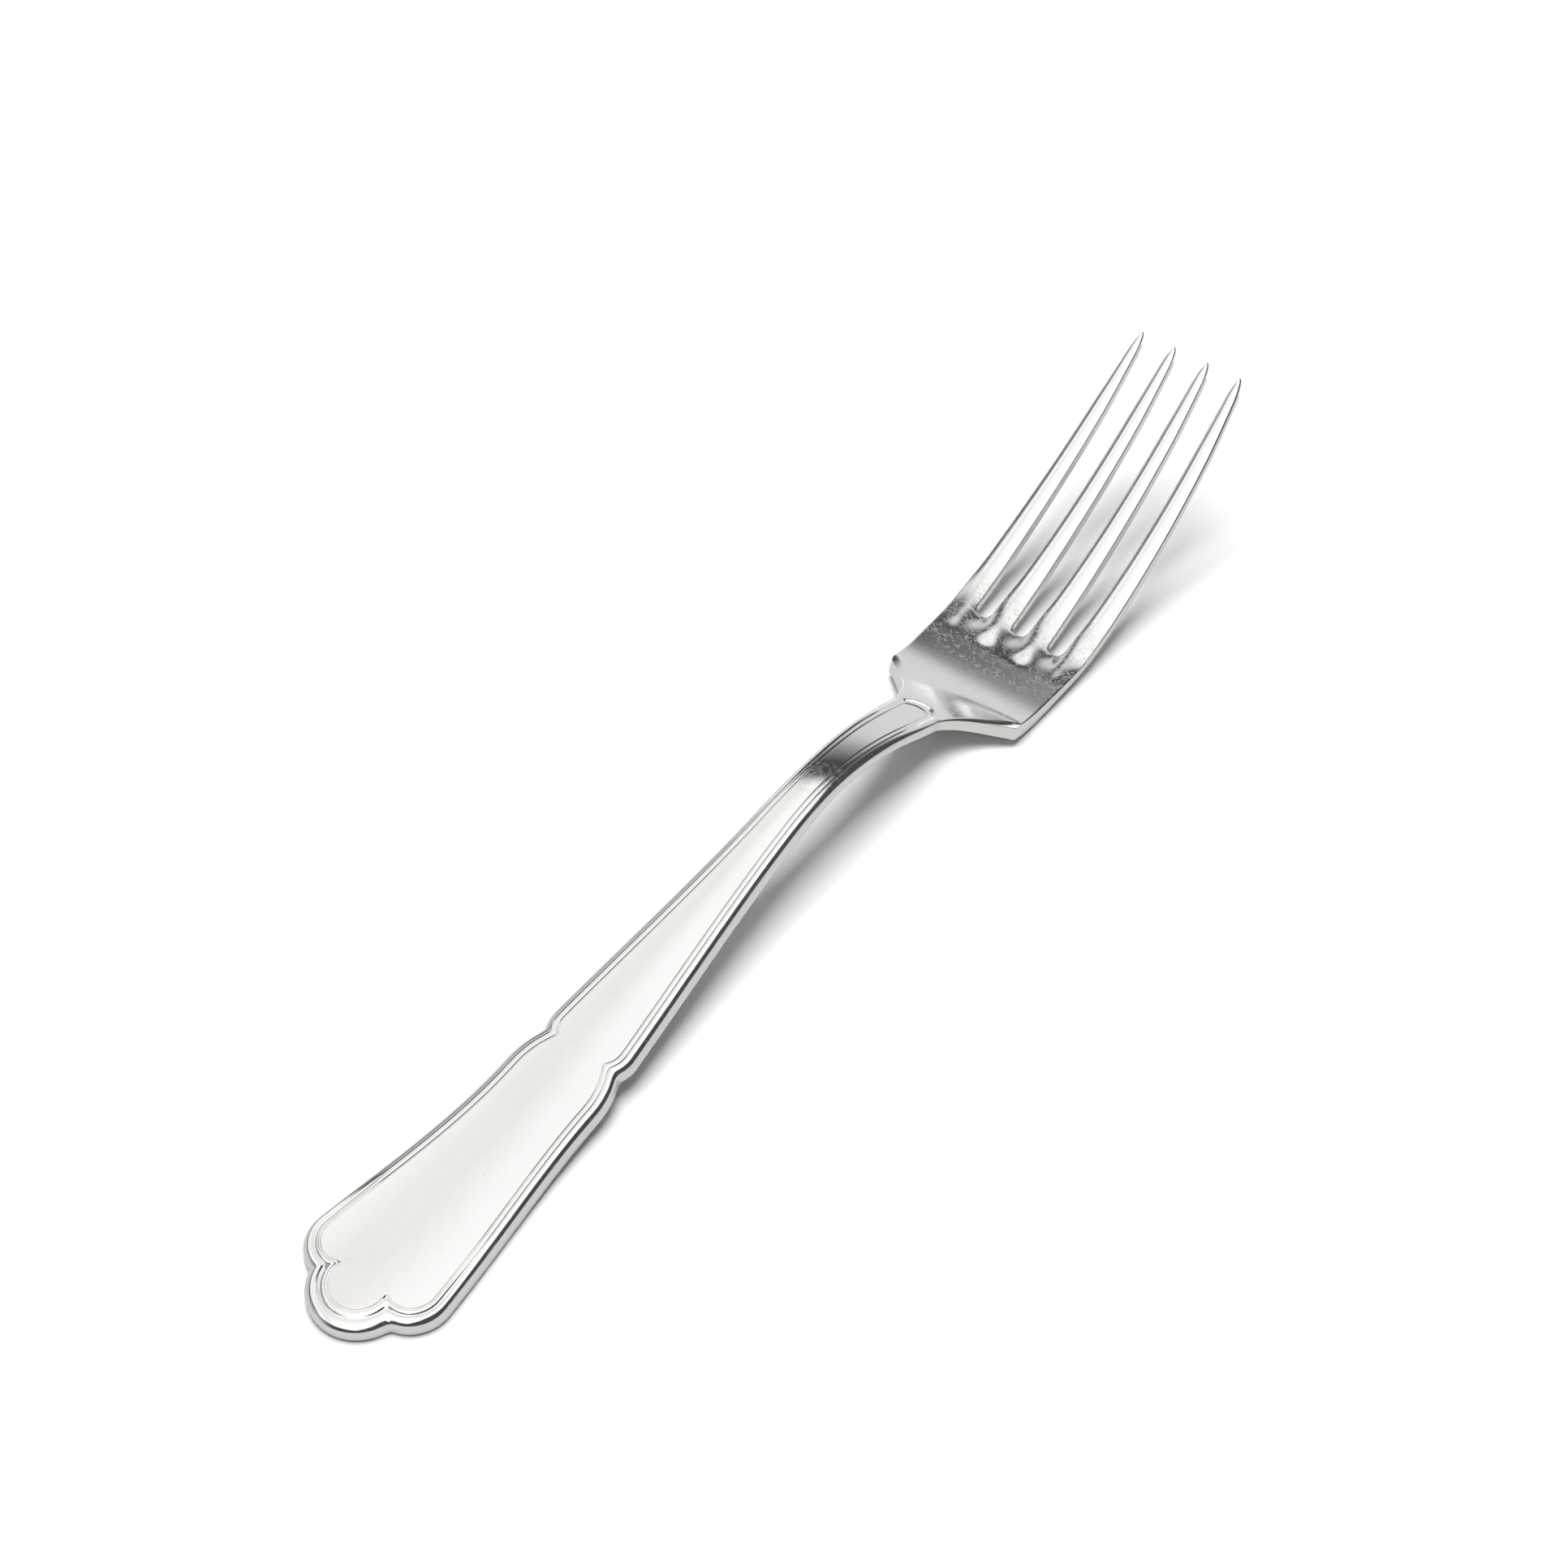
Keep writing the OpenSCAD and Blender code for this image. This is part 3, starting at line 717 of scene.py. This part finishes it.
def head_edge(x, s):
    """Drop along the rear edges and the sides."""
    rear_gap = np.maximum(rear_x(s) - np.abs(x), 0) / rear_stretch(s)
    side_gap = np.maximum(side_half(s) - np.abs(x), 0)
    grown = ease((s - COLLAR_S) / REAR_LEN)
    wide, deep = mix(HEAD_ROUND, BEVEL_W, grown), mix(HEAD_ROUND, BEVEL_D, grown)
    rear = bevelled(rear_gap, wide, deep, mix(ROUND_POWER, BEVEL_POWER, grown))
    side = bevelled(side_gap, side_round(s), side_round(s), ROUND_POWER)
    return np.minimum(np.where(s > HEAD_CORNER_S + CORNER_REACH, 0, rear), side)


def head_top(x, s):
    u = x / (ROOT_W / 2)
    neck_d = COLLAR_W / 2 - np.abs(x)
    pattern = relief(x, s, neck_d) * (1 - ease((s - COLLAR_S - PATTERN_LEN) / PATTERN_FADE))
    dish = -DISH_D * palm(s) * (1 - np.minimum(u * u, 1))
    form = mix(dish, tine_crown(x, s), ridge(s))
    return form + pattern + head_edge(x, s) + quarter(slot_gap(x, s), TINE_ROUND)


def head_back(x, s):
    half = np.minimum(rear_x(s), side_half(s))
    rise_s = FLAT_S + BELLY_FLAT
    mid_t = mix(HEAD_T, TINE_ROOT_T, ease((s - rise_s) / (ROOT_S - rise_s)))
    rear_t = mix(NECK_EDGE_T, HEAD_EDGE_T, ease((s - COLLAR_S) / REAR_LEN))
    side_t = mix(HEAD_EDGE_T, TINE_ROOT_T, ease((s - HEAD_CORNER_S) / (ROOT_S - HEAD_CORNER_S)))
    wall = np.where(s < HEAD_CORNER_S, rear_t, side_t)
    deep = mix(wall, mid_t, ease((1 - np.abs(x) / half) / BACK_SLOPE))
    outside = quarter(np.maximum(half - np.abs(x), 0), mix(HEAD_ROUND, BACK_EDGE, ridge(s)))
    return -deep - outside - quarter(slot_gap(x, s), BACK_EDGE)


# Where each stretch of the head's rows ends, and how many rows it has
HEAD_ROWS = (
    (COLLAR_S + 3.9, 39),
    (HEAD_CORNER_S - 1, 30),
    (HEAD_CORNER_S + 1.5, 20),
    (ROOT_S - 2, 44),
    (ROOT_S, 24),
)
# The neck's columns have turned into the tines' by this distance from the collar
COLUMN_RUN = REAR_LEN - 2


def root_layout():
    """x of all four tines' columns at the root, where each tine fills its cell."""
    root = np.array([ROOT_S])
    cells = [tine_columns(cell_edge(n - 3, root), cell_edge(n - 2, root))[0] for n in TINES]
    return np.concatenate([cells[0]] + [cell[1:] for cell in cells[1:]])


def head_plan():
    """x and s across the head, and its last row, which has the tines' columns."""
    rows, start = [], COLLAR_S
    for end, count in HEAD_ROWS:
        rows.append(steps(start, end, count))
        start = end
    rows = np.concatenate(rows)
    layout = root_layout()
    shares = EDGE_STEPS / TINE_ROUND
    x = np.zeros((len(rows), len(layout)))
    for i in range(len(rows)):
        s = rows[i:i + 1]
        in_rear = mix(HEAD_ROUND, BEVEL_W, ease((s - COLLAR_S) / REAR_LEN)) * rear_stretch(s)
        rear = rear_x(s) - shares * in_rear
        side = side_half(s) - shares * side_round(s)
        edge = soft_min(rear, side, CORNER_SOFT) if s[0] < HEAD_CORNER_S + CORNER_REACH else side
        inner = layout[EDGE_COLS:-EDGE_COLS] / layout[-EDGE_COLS] * edge[-1]
        x[i] = np.concatenate([-edge, inner, edge[::-1]])
    return x, np.repeat(rows[:, None], len(layout), axis=1), layout


def head_grid(neck_x, neck_row_top, neck_row_back):
    """Points of the head's top and back. Its columns turn from the neck's into the tines'."""
    x, s, layout = head_plan()
    neck_share = neck_x / neck_x[-1]
    blend = ease((s - COLLAR_S) / COLUMN_RUN)
    half = x[:, -1:]
    x = mix(neck_share[None, :] * half, x, blend)
    x[-1] = layout
    top = np.concatenate([neck_row_top[None], bent(x, s, head_top(x, s))])
    back = np.concatenate([neck_row_back[None], bent(x, s, head_back(x, s))])
    return top, back


ROOT_ROWS = 14
SHAFT_ROWS = 110
TAPER_END_ROWS = 24
POINT_ROWS = 16


def tine_grid(n):
    """Points of a tine's top and back. It narrows from POINT_S on and ends in a round point."""
    root_s = ROOT_S + SLOT_R * (1 - np.cos(np.linspace(0, pi / 2, ROOT_ROWS + 1)))
    shaft_s = steps(ROOT_S + SLOT_R, POINT_S, SHAFT_ROWS)
    round_s = TIP_S - ROUND_LEN
    taper_s = steps(POINT_S, round_s, TAPER_END_ROWS)
    turn = np.linspace(0, radians(ROUND_TURN), POINT_ROWS + 1)[1:]
    s = np.concatenate([root_s, shaft_s, taper_s, round_s + ROUND_LEN * np.sin(turn)])
    u = np.maximum(s - POINT_S, 0) / POINT_LEN
    narrow = 1 - POINT_DROP * (np.sqrt(u * u + POINT_SOFT ** 2) - POINT_SOFT)
    narrow[-POINT_ROWS:] *= np.cos(turn)
    left, right = tine_left(n, s), tine_right(n, s)
    full = tine_columns(left, right)
    middle = ((left + right) / 2)[:, None]
    x = middle + (full - middle) * narrow[:, None]
    grid_s = np.repeat(s[:, None], x.shape[1], axis=1)
    thin = np.sqrt(narrow)[:, None]
    outer_gap = np.full_like(full, FAR)
    if n == TINES[0]:
        outer_gap = full - left[:, None]
    elif n == TINES[-1]:
        outer_gap = right[:, None] - full
    side_r = side_round(grid_s)
    gap = slot_gap(full, grid_s)
    edge = quarter(gap, TINE_ROUND) + bevelled(outer_gap, side_r, side_r, ROUND_POWER)
    top_n = (tine_crown(full, grid_s) + edge) * thin
    back_edge = quarter(np.minimum(gap, outer_gap), BACK_EDGE)
    back_n = -(mix(TINE_ROOT_T, TINE_TIP_T, along(grid_s)) + back_edge) * thin
    return bent(x, grid_s, top_n), bent(x, grid_s, back_n)


# Meshes
# Points that agree to so many decimals of a millimetre are one point
MERGE_DIGITS = 5
TINY = 1e-12


def unit(vectors):
    return vectors / np.maximum(np.linalg.norm(vectors, axis=-1, keepdims=True), TINY)


def slab_faces(rows, cols, start_cap, end_cap, end_is_skin):
    """Faces between a grid of top points and one of back points.

    Gives the skin, and the flat caps where regions meet.
    """
    top = np.arange(rows * cols).reshape(rows, cols)
    low = top + rows * cols

    def quads(a, b, c, d):
        return np.stack([a.ravel(), b.ravel(), c.ravel(), d.ravel()], axis=1)

    skin = [
        quads(top[:-1, :-1], top[:-1, 1:], top[1:, 1:], top[1:, :-1]),
        quads(low[:-1, :-1], low[1:, :-1], low[1:, 1:], low[:-1, 1:]),
        quads(top[:-1, 0], top[1:, 0], low[1:, 0], low[:-1, 0]),
        quads(top[:-1, -1], low[:-1, -1], low[1:, -1], top[1:, -1]),
    ]
    caps = []
    if start_cap:
        caps.append(quads(top[0, :-1], low[0, :-1], low[0, 1:], top[0, 1:]))
    if end_cap:
        end = quads(top[-1, :-1], top[-1, 1:], low[-1, 1:], low[-1, :-1])
        (skin if end_is_skin else caps).append(end)
    return np.concatenate(skin), np.concatenate(caps) if caps else np.zeros((0, 4), int)


def regions():
    """Points and faces of the seven regions of the blank."""
    x, s, d, neck_row = stem_plan()
    top = bent(x, s, stem_top(x, s, d))
    back = bent(x, s, stem_back(x, s, d))
    head_top_grid, head_back_grid = head_grid(x[-1], top[-1], back[-1])
    found = {
        "handle": (top[:neck_row + 1], back[:neck_row + 1], False, True, False),
        "neck": (top[neck_row:], back[neck_row:], True, True, False),
        "head": (head_top_grid, head_back_grid, True, True, False),
    }
    cols = (head_top_grid.shape[1] + 3) // 4
    for n in TINES:
        tine_top, tine_back = tine_grid(n)
        first = (n - 1) * (cols - 1)
        tine_top[0] = head_top_grid[-1, first:first + cols]
        tine_back[0] = head_back_grid[-1, first:first + cols]
        found[f"tine_{n}"] = (tine_top, tine_back, True, True, True)
    return found


def build_pieces():
    """The seven pieces, with normals taken over the skin of the whole blank."""
    found = regions()
    points, skins, caps = [], {}, {}
    count = 0
    for name, (top, back, start_cap, end_cap, end_is_skin) in found.items():
        skin, cap = slab_faces(top.shape[0], top.shape[1], start_cap, end_cap, end_is_skin)
        points += [top.reshape(-1, 3), back.reshape(-1, 3)]
        skins[name], caps[name] = skin + count, cap + count
        count += 2 * top.shape[0] * top.shape[1]
    points = np.concatenate(points)
    _, first, shared = np.unique(
        np.round(points, MERGE_DIGITS), axis=0, return_index=True, return_inverse=True)
    shared = shared.ravel()
    merged = points[first]
    normals = np.zeros_like(merged)
    for skin in skins.values():
        q = shared[skin]
        area = np.cross(merged[q[:, 2]] - merged[q[:, 0]], merged[q[:, 3]] - merged[q[:, 1]])
        for corner in range(4):
            np.add.at(normals, q[:, corner], area)
    normals = unit(normals)
    return {
        name: make_piece(name + "_metal", merged, normals, shared[skins[name]], shared[caps[name]])
        for name in found
    }


def make_piece(name, points, normals, skin, caps):
    """One closed mesh. Its skin has the blank's normals, so that no seam shows between regions."""
    used = np.unique(np.concatenate([skin.ravel(), caps.ravel()]))
    local = np.full(len(points), -1)
    local[used] = np.arange(len(used))
    faces, loop_normals = [], []
    for quads, is_skin in ((skin, True), (caps, False)):
        for quad in quads:
            corners = [v for k, v in enumerate(quad) if v != quad[k - 1]]
            if len(corners) < 3 or len(set(corners)) < len(corners):
                continue
            faces.append([int(local[v]) for v in corners])
            if is_skin:
                loop_normals += [normals[v] for v in corners]
            else:
                p = points[corners]
                across = p[3] - p[1] if len(corners) == 4 else p[2] - p[1]
                loop_normals += [unit(np.cross(p[2] - p[0], across))] * len(corners)
    mesh = bpy.data.meshes.new(name)
    mesh.from_pydata((points[used] * MM).tolist(), [], faces)
    mesh.polygons.foreach_set("use_smooth", [True] * len(mesh.polygons))
    mesh.normals_split_custom_set([tuple(v) for v in loop_normals])
    mesh.update()
    obj = bpy.data.objects.new(name, mesh)
    bpy.context.scene.collection.objects.link(obj)
    return obj


# Material
PLATE_COLOUR = (0.93, 0.92, 0.905, 1)
SPECK_COLOUR = (0.5, 0.47, 0.45, 1)
# Bands of wear along y, in metres: where each fades in, and where it fades out
PALM_WEAR = ((0.041, 0.051), (0.057, 0.064))
CREST_WEAR = ((-0.012, 0.0), (0.008, 0.024))
ROUGH_START = ((0.0495, 0.053), (0.058, 0.066))
CREST_SHARE = 0.25
# Scratches: angle in degrees, length and width in metres
SHORT_SCRATCHES = (
    (20, 0.0016, 0.00015),
    (62, 0.0013, 0.00014),
    (97, 0.0018, 0.00014),
    (128, 0.0014, 0.00016),
    (160, 0.0018, 0.00014),
)
LONG_SCRATCHES = (
    (8, 0.006, 0.00012),
    (52, 0.004, 0.0001),
    (97, 0.005, 0.00011),
    (143, 0.0045, 0.0001),
)
SHORT_FROM_TO = (0.745, 0.785)
LONG_FROM_TO = (0.74, 0.8)
STREAK_DEPTH = 0.02
STREAK_SHIFT = 0.7
# Noises: scale and detail, and the values between which each one takes effect
PATCH_NOISE, PATCH_FROM_TO = (260, 2), (0.4, 0.62)
SPECK_NOISE, SPECK_PATCH_FROM_TO = (420, 1), (0.5, 0.66)
STAIN_NOISE, STAIN_FROM_TO = (60, 3), (0.45, 0.75)
SHEEN_NOISE, SHEEN_FROM_TO = (140, 3), (0.3, 0.7)
GRAIN_NOISE = (900, 2)
SPECK_FROM_TO = (0.1, 0.04)
LONG_SHARE = 0.2
PATCHY_SHARE = 0.6
SPECKS_PER_M = 900
SPECK_TINT = 0.6
SPECK_ROUGH = 0.2
STAIN_TINT = 0.05
SMOOTHEST = 0.05
DULLEST = 0.12
START_ROUGH = 0.1
SCRATCH_ROUGH = 0.55
GRAIN_SHARE = 0.35
BUMP_STRENGTH = 0.5
BUMP_M = 0.00002


def value(tree, operation, a, b, c=0.0):
    """One Math node, from numbers or from other nodes' outputs."""
    node = tree.nodes.new("ShaderNodeMath")
    node.operation = operation
    for socket, given in zip(node.inputs, (a, b, c)):
        if isinstance(given, (int, float)):
            socket.default_value = given
        else:
            tree.links.new(given, socket)
    return node.outputs[0]


def spread(tree, given, low, high, to_low=0.0, to_high=1.0, smooth=True):
    """Map Range from low..high to to_low..to_high."""
    node = tree.nodes.new("ShaderNodeMapRange")
    node.interpolation_type = "SMOOTHSTEP" if smooth else "LINEAR"
    tree.links.new(given, node.inputs["Value"])
    limits = {"From Min": low, "From Max": high, "To Min": to_low, "To Max": to_high}
    for name, number in limits.items():
        node.inputs[name].default_value = number
    return node.outputs["Result"]


def band(tree, given, fade_in, fade_out):
    """1 between two soft ends."""
    start = spread(tree, given, *fade_in)
    return value(tree, "MULTIPLY", start, spread(tree, given, fade_out[1], fade_out[0]))


def noise(tree, place, scale, detail=0.0):
    node = tree.nodes.new("ShaderNodeTexNoise")
    node.inputs["Scale"].default_value = scale
    node.inputs["Detail"].default_value = detail
    tree.links.new(place, node.inputs["Vector"])
    return node.outputs["Fac"]


def mixed(tree, factor, a, b):
    """Colour a where the factor is 0 and b where it is 1."""
    node = tree.nodes.new("ShaderNodeMix")
    node.data_type = "RGBA"
    tree.links.new(factor, node.inputs["Factor"])
    for name, given in (("A", a), ("B", b)):
        if isinstance(given, tuple):
            node.inputs[name].default_value = given
        else:
            tree.links.new(given, node.inputs[name])
    return node.outputs["Result"]


def streaks(tree, place, angle, length, width, start, end):
    """Straight hairlines of one direction, about that long and wide in metres."""
    turn = tree.nodes.new("ShaderNodeMapping")
    turn.vector_type = "TEXTURE"
    turn.inputs["Location"].default_value = (angle, angle * STREAK_SHIFT, 0)
    turn.inputs["Rotation"].default_value = (0, 0, radians(angle))
    turn.inputs["Scale"].default_value = (length, width, STREAK_DEPTH)
    tree.links.new(place, turn.inputs["Vector"])
    return spread(tree, noise(tree, turn.outputs["Vector"], 1.0), start, end)


def scratches(tree, place, kinds, from_to):
    """Hairlines of several directions."""
    found = None
    for kind in kinds:
        line = streaks(tree, place, *kind, *from_to)
        found = line if found is None else value(tree, "MAXIMUM", found, line)
    return found


def silver_plate():
    mat = bpy.data.materials.new("silver_plate")
    mat.use_nodes = True
    tree = mat.node_tree
    nodes, links = tree.nodes, tree.links
    shader = nodes["Principled BSDF"]
    shader.inputs["Metallic"].default_value = 1
    place = nodes.new("ShaderNodeTexCoord").outputs["Object"]
    axes = nodes.new("ShaderNodeSeparateXYZ")
    links.new(place, axes.inputs[0])
    y = axes.outputs["Y"]

    # Where the plate is worn: on the palm before the tines' roots, and on top of the neck
    crest = value(tree, "MULTIPLY", band(tree, y, *CREST_WEAR), CREST_SHARE)
    worn = value(tree, "MAXIMUM", band(tree, y, *PALM_WEAR), crest)
    patchy = spread(tree, noise(tree, place, *PATCH_NOISE), *PATCH_FROM_TO)
    patchy = value(tree, "MULTIPLY_ADD", patchy, PATCHY_SHARE, 1 - PATCHY_SHARE)

    # Fine short scratches there, in several directions, and longer fainter ones everywhere
    short = scratches(tree, place, SHORT_SCRATCHES, SHORT_FROM_TO)
    short = value(tree, "MULTIPLY", short, value(tree, "MULTIPLY", worn, patchy))
    long = scratches(tree, place, LONG_SCRATCHES, LONG_FROM_TO)
    scratched = value(tree, "MAXIMUM", short, value(tree, "MULTIPLY", long, LONG_SHARE))

    # Small dark specks
    cells = nodes.new("ShaderNodeTexVoronoi")
    cells.inputs["Scale"].default_value = SPECKS_PER_M
    links.new(place, cells.inputs["Vector"])
    speck = spread(tree, cells.outputs["Distance"], *SPECK_FROM_TO)
    some = spread(tree, noise(tree, place, *SPECK_NOISE), *SPECK_PATCH_FROM_TO)
    speck = value(tree, "MULTIPLY", speck, some)

    # A faint stain in patches
    stain = spread(tree, noise(tree, place, *STAIN_NOISE), *STAIN_FROM_TO, 0, STAIN_TINT)
    tint = value(tree, "MAXIMUM", value(tree, "MULTIPLY", speck, SPECK_TINT), stain)
    links.new(mixed(tree, tint, PLATE_COLOUR, SPECK_COLOUR), shader.inputs["Base Color"])

    # Duller in patches, where the ridges start, on scratches and on specks
    rough = spread(tree, noise(tree, place, *SHEEN_NOISE), *SHEEN_FROM_TO, SMOOTHEST, DULLEST)
    rough = value(tree, "MULTIPLY_ADD", band(tree, y, *ROUGH_START), START_ROUGH, rough)
    rough = value(tree, "MULTIPLY_ADD", speck, SPECK_ROUGH, rough)
    rough = value(tree, "MULTIPLY_ADD", scratched, SCRATCH_ROUGH, rough)
    links.new(rough, shader.inputs["Roughness"])

    bump = nodes.new("ShaderNodeBump")
    bump.inputs["Strength"].default_value = BUMP_STRENGTH
    bump.inputs["Distance"].default_value = BUMP_M
    grain = value(tree, "MULTIPLY", noise(tree, place, *GRAIN_NOISE), GRAIN_SHARE)
    links.new(value(tree, "MULTIPLY_ADD", scratched, -1.0, grain), bump.inputs["Height"])
    links.new(bump.outputs["Normal"], shader.inputs["Normal"])
    return mat


pieces = build_pieces()
metal = silver_plate()
for node, piece in pieces.items():
    piece.data.materials.append(metal)
    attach(piece, "root")
    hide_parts(node)

# Camera
VIEW_AZ = radians(38.14)
VIEW_EL = radians(48.60)
VIEW_ROLL = radians(-0.32)
VIEW_DISTANCE = 0.48442
VIEW_TARGET = Vector((-0.01093, 0.0108, 0.0004))
VIEW_LENS = 73.85
SENSOR = 36
CLIP = (0.01, 20)


def add_camera():
    back = Vector((sin(VIEW_AZ) * cos(VIEW_EL), -cos(VIEW_AZ) * cos(VIEW_EL), sin(VIEW_EL)))
    level = Vector((cos(VIEW_AZ), sin(VIEW_AZ), 0))
    up = back.cross(level)
    right = cos(VIEW_ROLL) * level + sin(VIEW_ROLL) * up
    up = cos(VIEW_ROLL) * up - sin(VIEW_ROLL) * level
    data = bpy.data.cameras.new("camera")
    data.lens, data.sensor_width, data.sensor_height = VIEW_LENS, SENSOR, SENSOR
    data.clip_start, data.clip_end = CLIP
    camera = bpy.data.objects.new("camera", data)
    place = VIEW_TARGET + back * VIEW_DISTANCE
    camera.matrix_world = Matrix((
        (right.x, up.x, back.x, place.x),
        (right.y, up.y, back.y, place.y),
        (right.z, up.z, back.z, place.z),
        (0, 0, 0, 1),
    ))
    bpy.context.scene.collection.objects.link(camera)
    bpy.context.scene.camera = camera


# Studio
FLOOR_HALF = 3.0
# White in the picture. The metal mirrors it as the light grey that the photographed metal shows.
FLOOR_SEEN = (0.9, 0.9, 0.9, 1)
FLOOR_MIRRORED = (0.52, 0.52, 0.51, 1)
FLOOR_ROUGH = 0.9
WHITE = (1, 1, 1, 1)
WORLD_DARK = (0.065, 0.065, 0.07, 1)
WORLD_PALE = (0.6, 0.63, 0.67, 1)
# The pale part of the world fades out upwards, to the right and beyond the tines. Each pair is
# where it is gone and where it is full.
WORLD_UP = (0.5, 0.1)
WORLD_LEFT = (-0.1, -0.6)
WORLD_NEAR = (0.5, 0.2)
# Panels: centre, place that each one faces, size and radiance
KEY = ((-0.08, 0, 1.4), (0, 0, 0), (0.8, 0.8), 10.6)
FILL = ((0, 0, 1.5), (0, 0, 0), (4.0, 4.0), 0.28)
CANOPY = ((-0.06, -0.14, 0.17), (-0.06, -0.14, 0), (0.5, 0.54), 1.0)
FAR_CARD = ((-0.15, 0.134, 0.065), (-0.15, 0, 0.065), (0.4, 0.13), 1.0)
# Colours of the canopy along x and of the card along z, and the ends of their fades
CANOPY_STOPS = (
    (-0.31, (0.1, 0.1, 0.1)),
    (-0.24, (0.3, 0.3, 0.3)),
    (-0.2, (0.75, 0.75, 0.74)),
    (-0.17, (1.0, 1.0, 0.99)),
    (-0.13, (1.0, 0.99, 0.98)),
    (-0.105, (0.84, 0.835, 0.825)),
    (-0.085, (0.82, 0.815, 0.805)),
    (-0.06, (0.98, 0.975, 0.97)),
    (0.19, (1.12, 1.12, 1.12)),
)
CANOPY_FADE = ("Y", 0.127, 0.09)
CARD_STOPS = (
    (0.0, (0.63, 0.645, 0.67)),
    (0.045, (0.62, 0.63, 0.65)),
    (0.06, (0.56, 0.57, 0.585)),
    (0.072, (0.45, 0.455, 0.465)),
    (0.09, (0.25, 0.255, 0.26)),
    (0.107, (0.13, 0.13, 0.13)),
    (0.13, (0.02, 0.02, 0.02)),
)
CARD_FADE = ("X", 0.05, 0.0)


def camera_sees(tree):
    return tree.nodes.new("ShaderNodeLightPath").outputs["Is Camera Ray"]


def add_floor():
    mesh = bpy.data.meshes.new("floor")
    half = FLOOR_HALF
    corners = [(-half, -half, 0), (half, -half, 0), (half, half, 0), (-half, half, 0)]
    mesh.from_pydata(corners, [], [(0, 1, 2, 3)])
    floor = bpy.data.objects.new("floor", mesh)
    bpy.context.scene.collection.objects.link(floor)
    mat = bpy.data.materials.new("floor")
    mat.use_nodes = True
    tree = mat.node_tree
    shader = tree.nodes["Principled BSDF"]
    colour = mixed(tree, camera_sees(tree), FLOOR_MIRRORED, FLOOR_SEEN)
    tree.links.new(colour, shader.inputs["Base Color"])
    shader.inputs["Roughness"].default_value = FLOOR_ROUGH
    shader.inputs["Specular IOR Level"].default_value = 0
    mesh.materials.append(mat)


def add_panel(name, centre, aim, size, radiance):
    """A softbox of that radiance."""
    data = bpy.data.lights.new(name, "AREA")
    data.shape = "RECTANGLE"
    data.size, data.size_y = size
    data.energy = radiance * size[0] * size[1] * pi
    light = bpy.data.objects.new(name, data)
    light.location = centre
    light.rotation_euler = (Vector(centre) - Vector(aim)).to_track_quat("Z", "Y").to_euler()
    light.visible_camera = False
    bpy.context.scene.collection.objects.link(light)
    return light


def shade_panel(light, axis, stops, fade):
    """Colours a panel along one axis by (place, colour), and dims it along another."""
    data = light.data
    data.use_nodes = True
    tree = data.node_tree
    place = tree.nodes.new("ShaderNodeNewGeometry").outputs["Position"]
    axes = tree.nodes.new("ShaderNodeSeparateXYZ")
    tree.links.new(place, axes.inputs[0])
    ramp = tree.nodes.new("ShaderNodeValToRGB")
    low, high = stops[0][0], stops[-1][0]
    share = spread(tree, axes.outputs[axis], low, high, smooth=False)
    tree.links.new(share, ramp.inputs["Fac"])
    points = ramp.color_ramp.elements
    while len(points) < len(stops):
        points.new(0.5)
    for point, (at, _) in zip(points, stops):
        point.position = (at - low) / (high - low)
    for point, (_, colour) in zip(points, stops):
        point.color = (*colour, 1)
    emission = tree.nodes["Emission"]
    tree.links.new(ramp.outputs["Color"], emission.inputs["Color"])
    fade_axis, none_at, full_at = fade
    strength = spread(tree, axes.outputs[fade_axis], none_at, full_at)
    tree.links.new(strength, emission.inputs["Strength"])


def set_world():
    """White behind the floor. The metal mirrors it dark above, and bluish and paler low down."""
    world = bpy.data.worlds.new("studio")
    bpy.context.scene.world = world
    world.use_nodes = True
    tree = world.node_tree
    axes = tree.nodes.new("ShaderNodeSeparateXYZ")
    tree.links.new(tree.nodes.new("ShaderNodeTexCoord").outputs["Generated"], axes.inputs[0])
    low = spread(tree, axes.outputs["Z"], *WORLD_UP)
    left = spread(tree, axes.outputs["X"], *WORLD_LEFT)
    near = spread(tree, axes.outputs["Y"], *WORLD_NEAR)
    pale = value(tree, "MULTIPLY", low, value(tree, "MULTIPLY", left, near))
    sky = mixed(tree, pale, WORLD_DARK, WORLD_PALE)
    seen = mixed(tree, camera_sees(tree), sky, WHITE)
    tree.links.new(seen, tree.nodes["Background"].inputs["Color"])


def add_lights():
    """Overhead light for the floor and its shadow, and two low panels that the metal mirrors."""
    for name, panel in (("key_softbox", KEY), ("fill_softbox", FILL)):
        add_panel(name, *panel).visible_glossy = False
    canopy = add_panel("canopy", *CANOPY)
    shade_panel(canopy, "X", CANOPY_STOPS, CANOPY_FADE)
    canopy.visible_diffuse = False
    card = add_panel("far_card", *FAR_CARD)
    shade_panel(card, "Z", CARD_STOPS, CARD_FADE)
    card.visible_diffuse = False


add_camera()
add_floor()
add_lights()
set_world()
bpy.context.scene.view_settings.view_transform = "Standard"
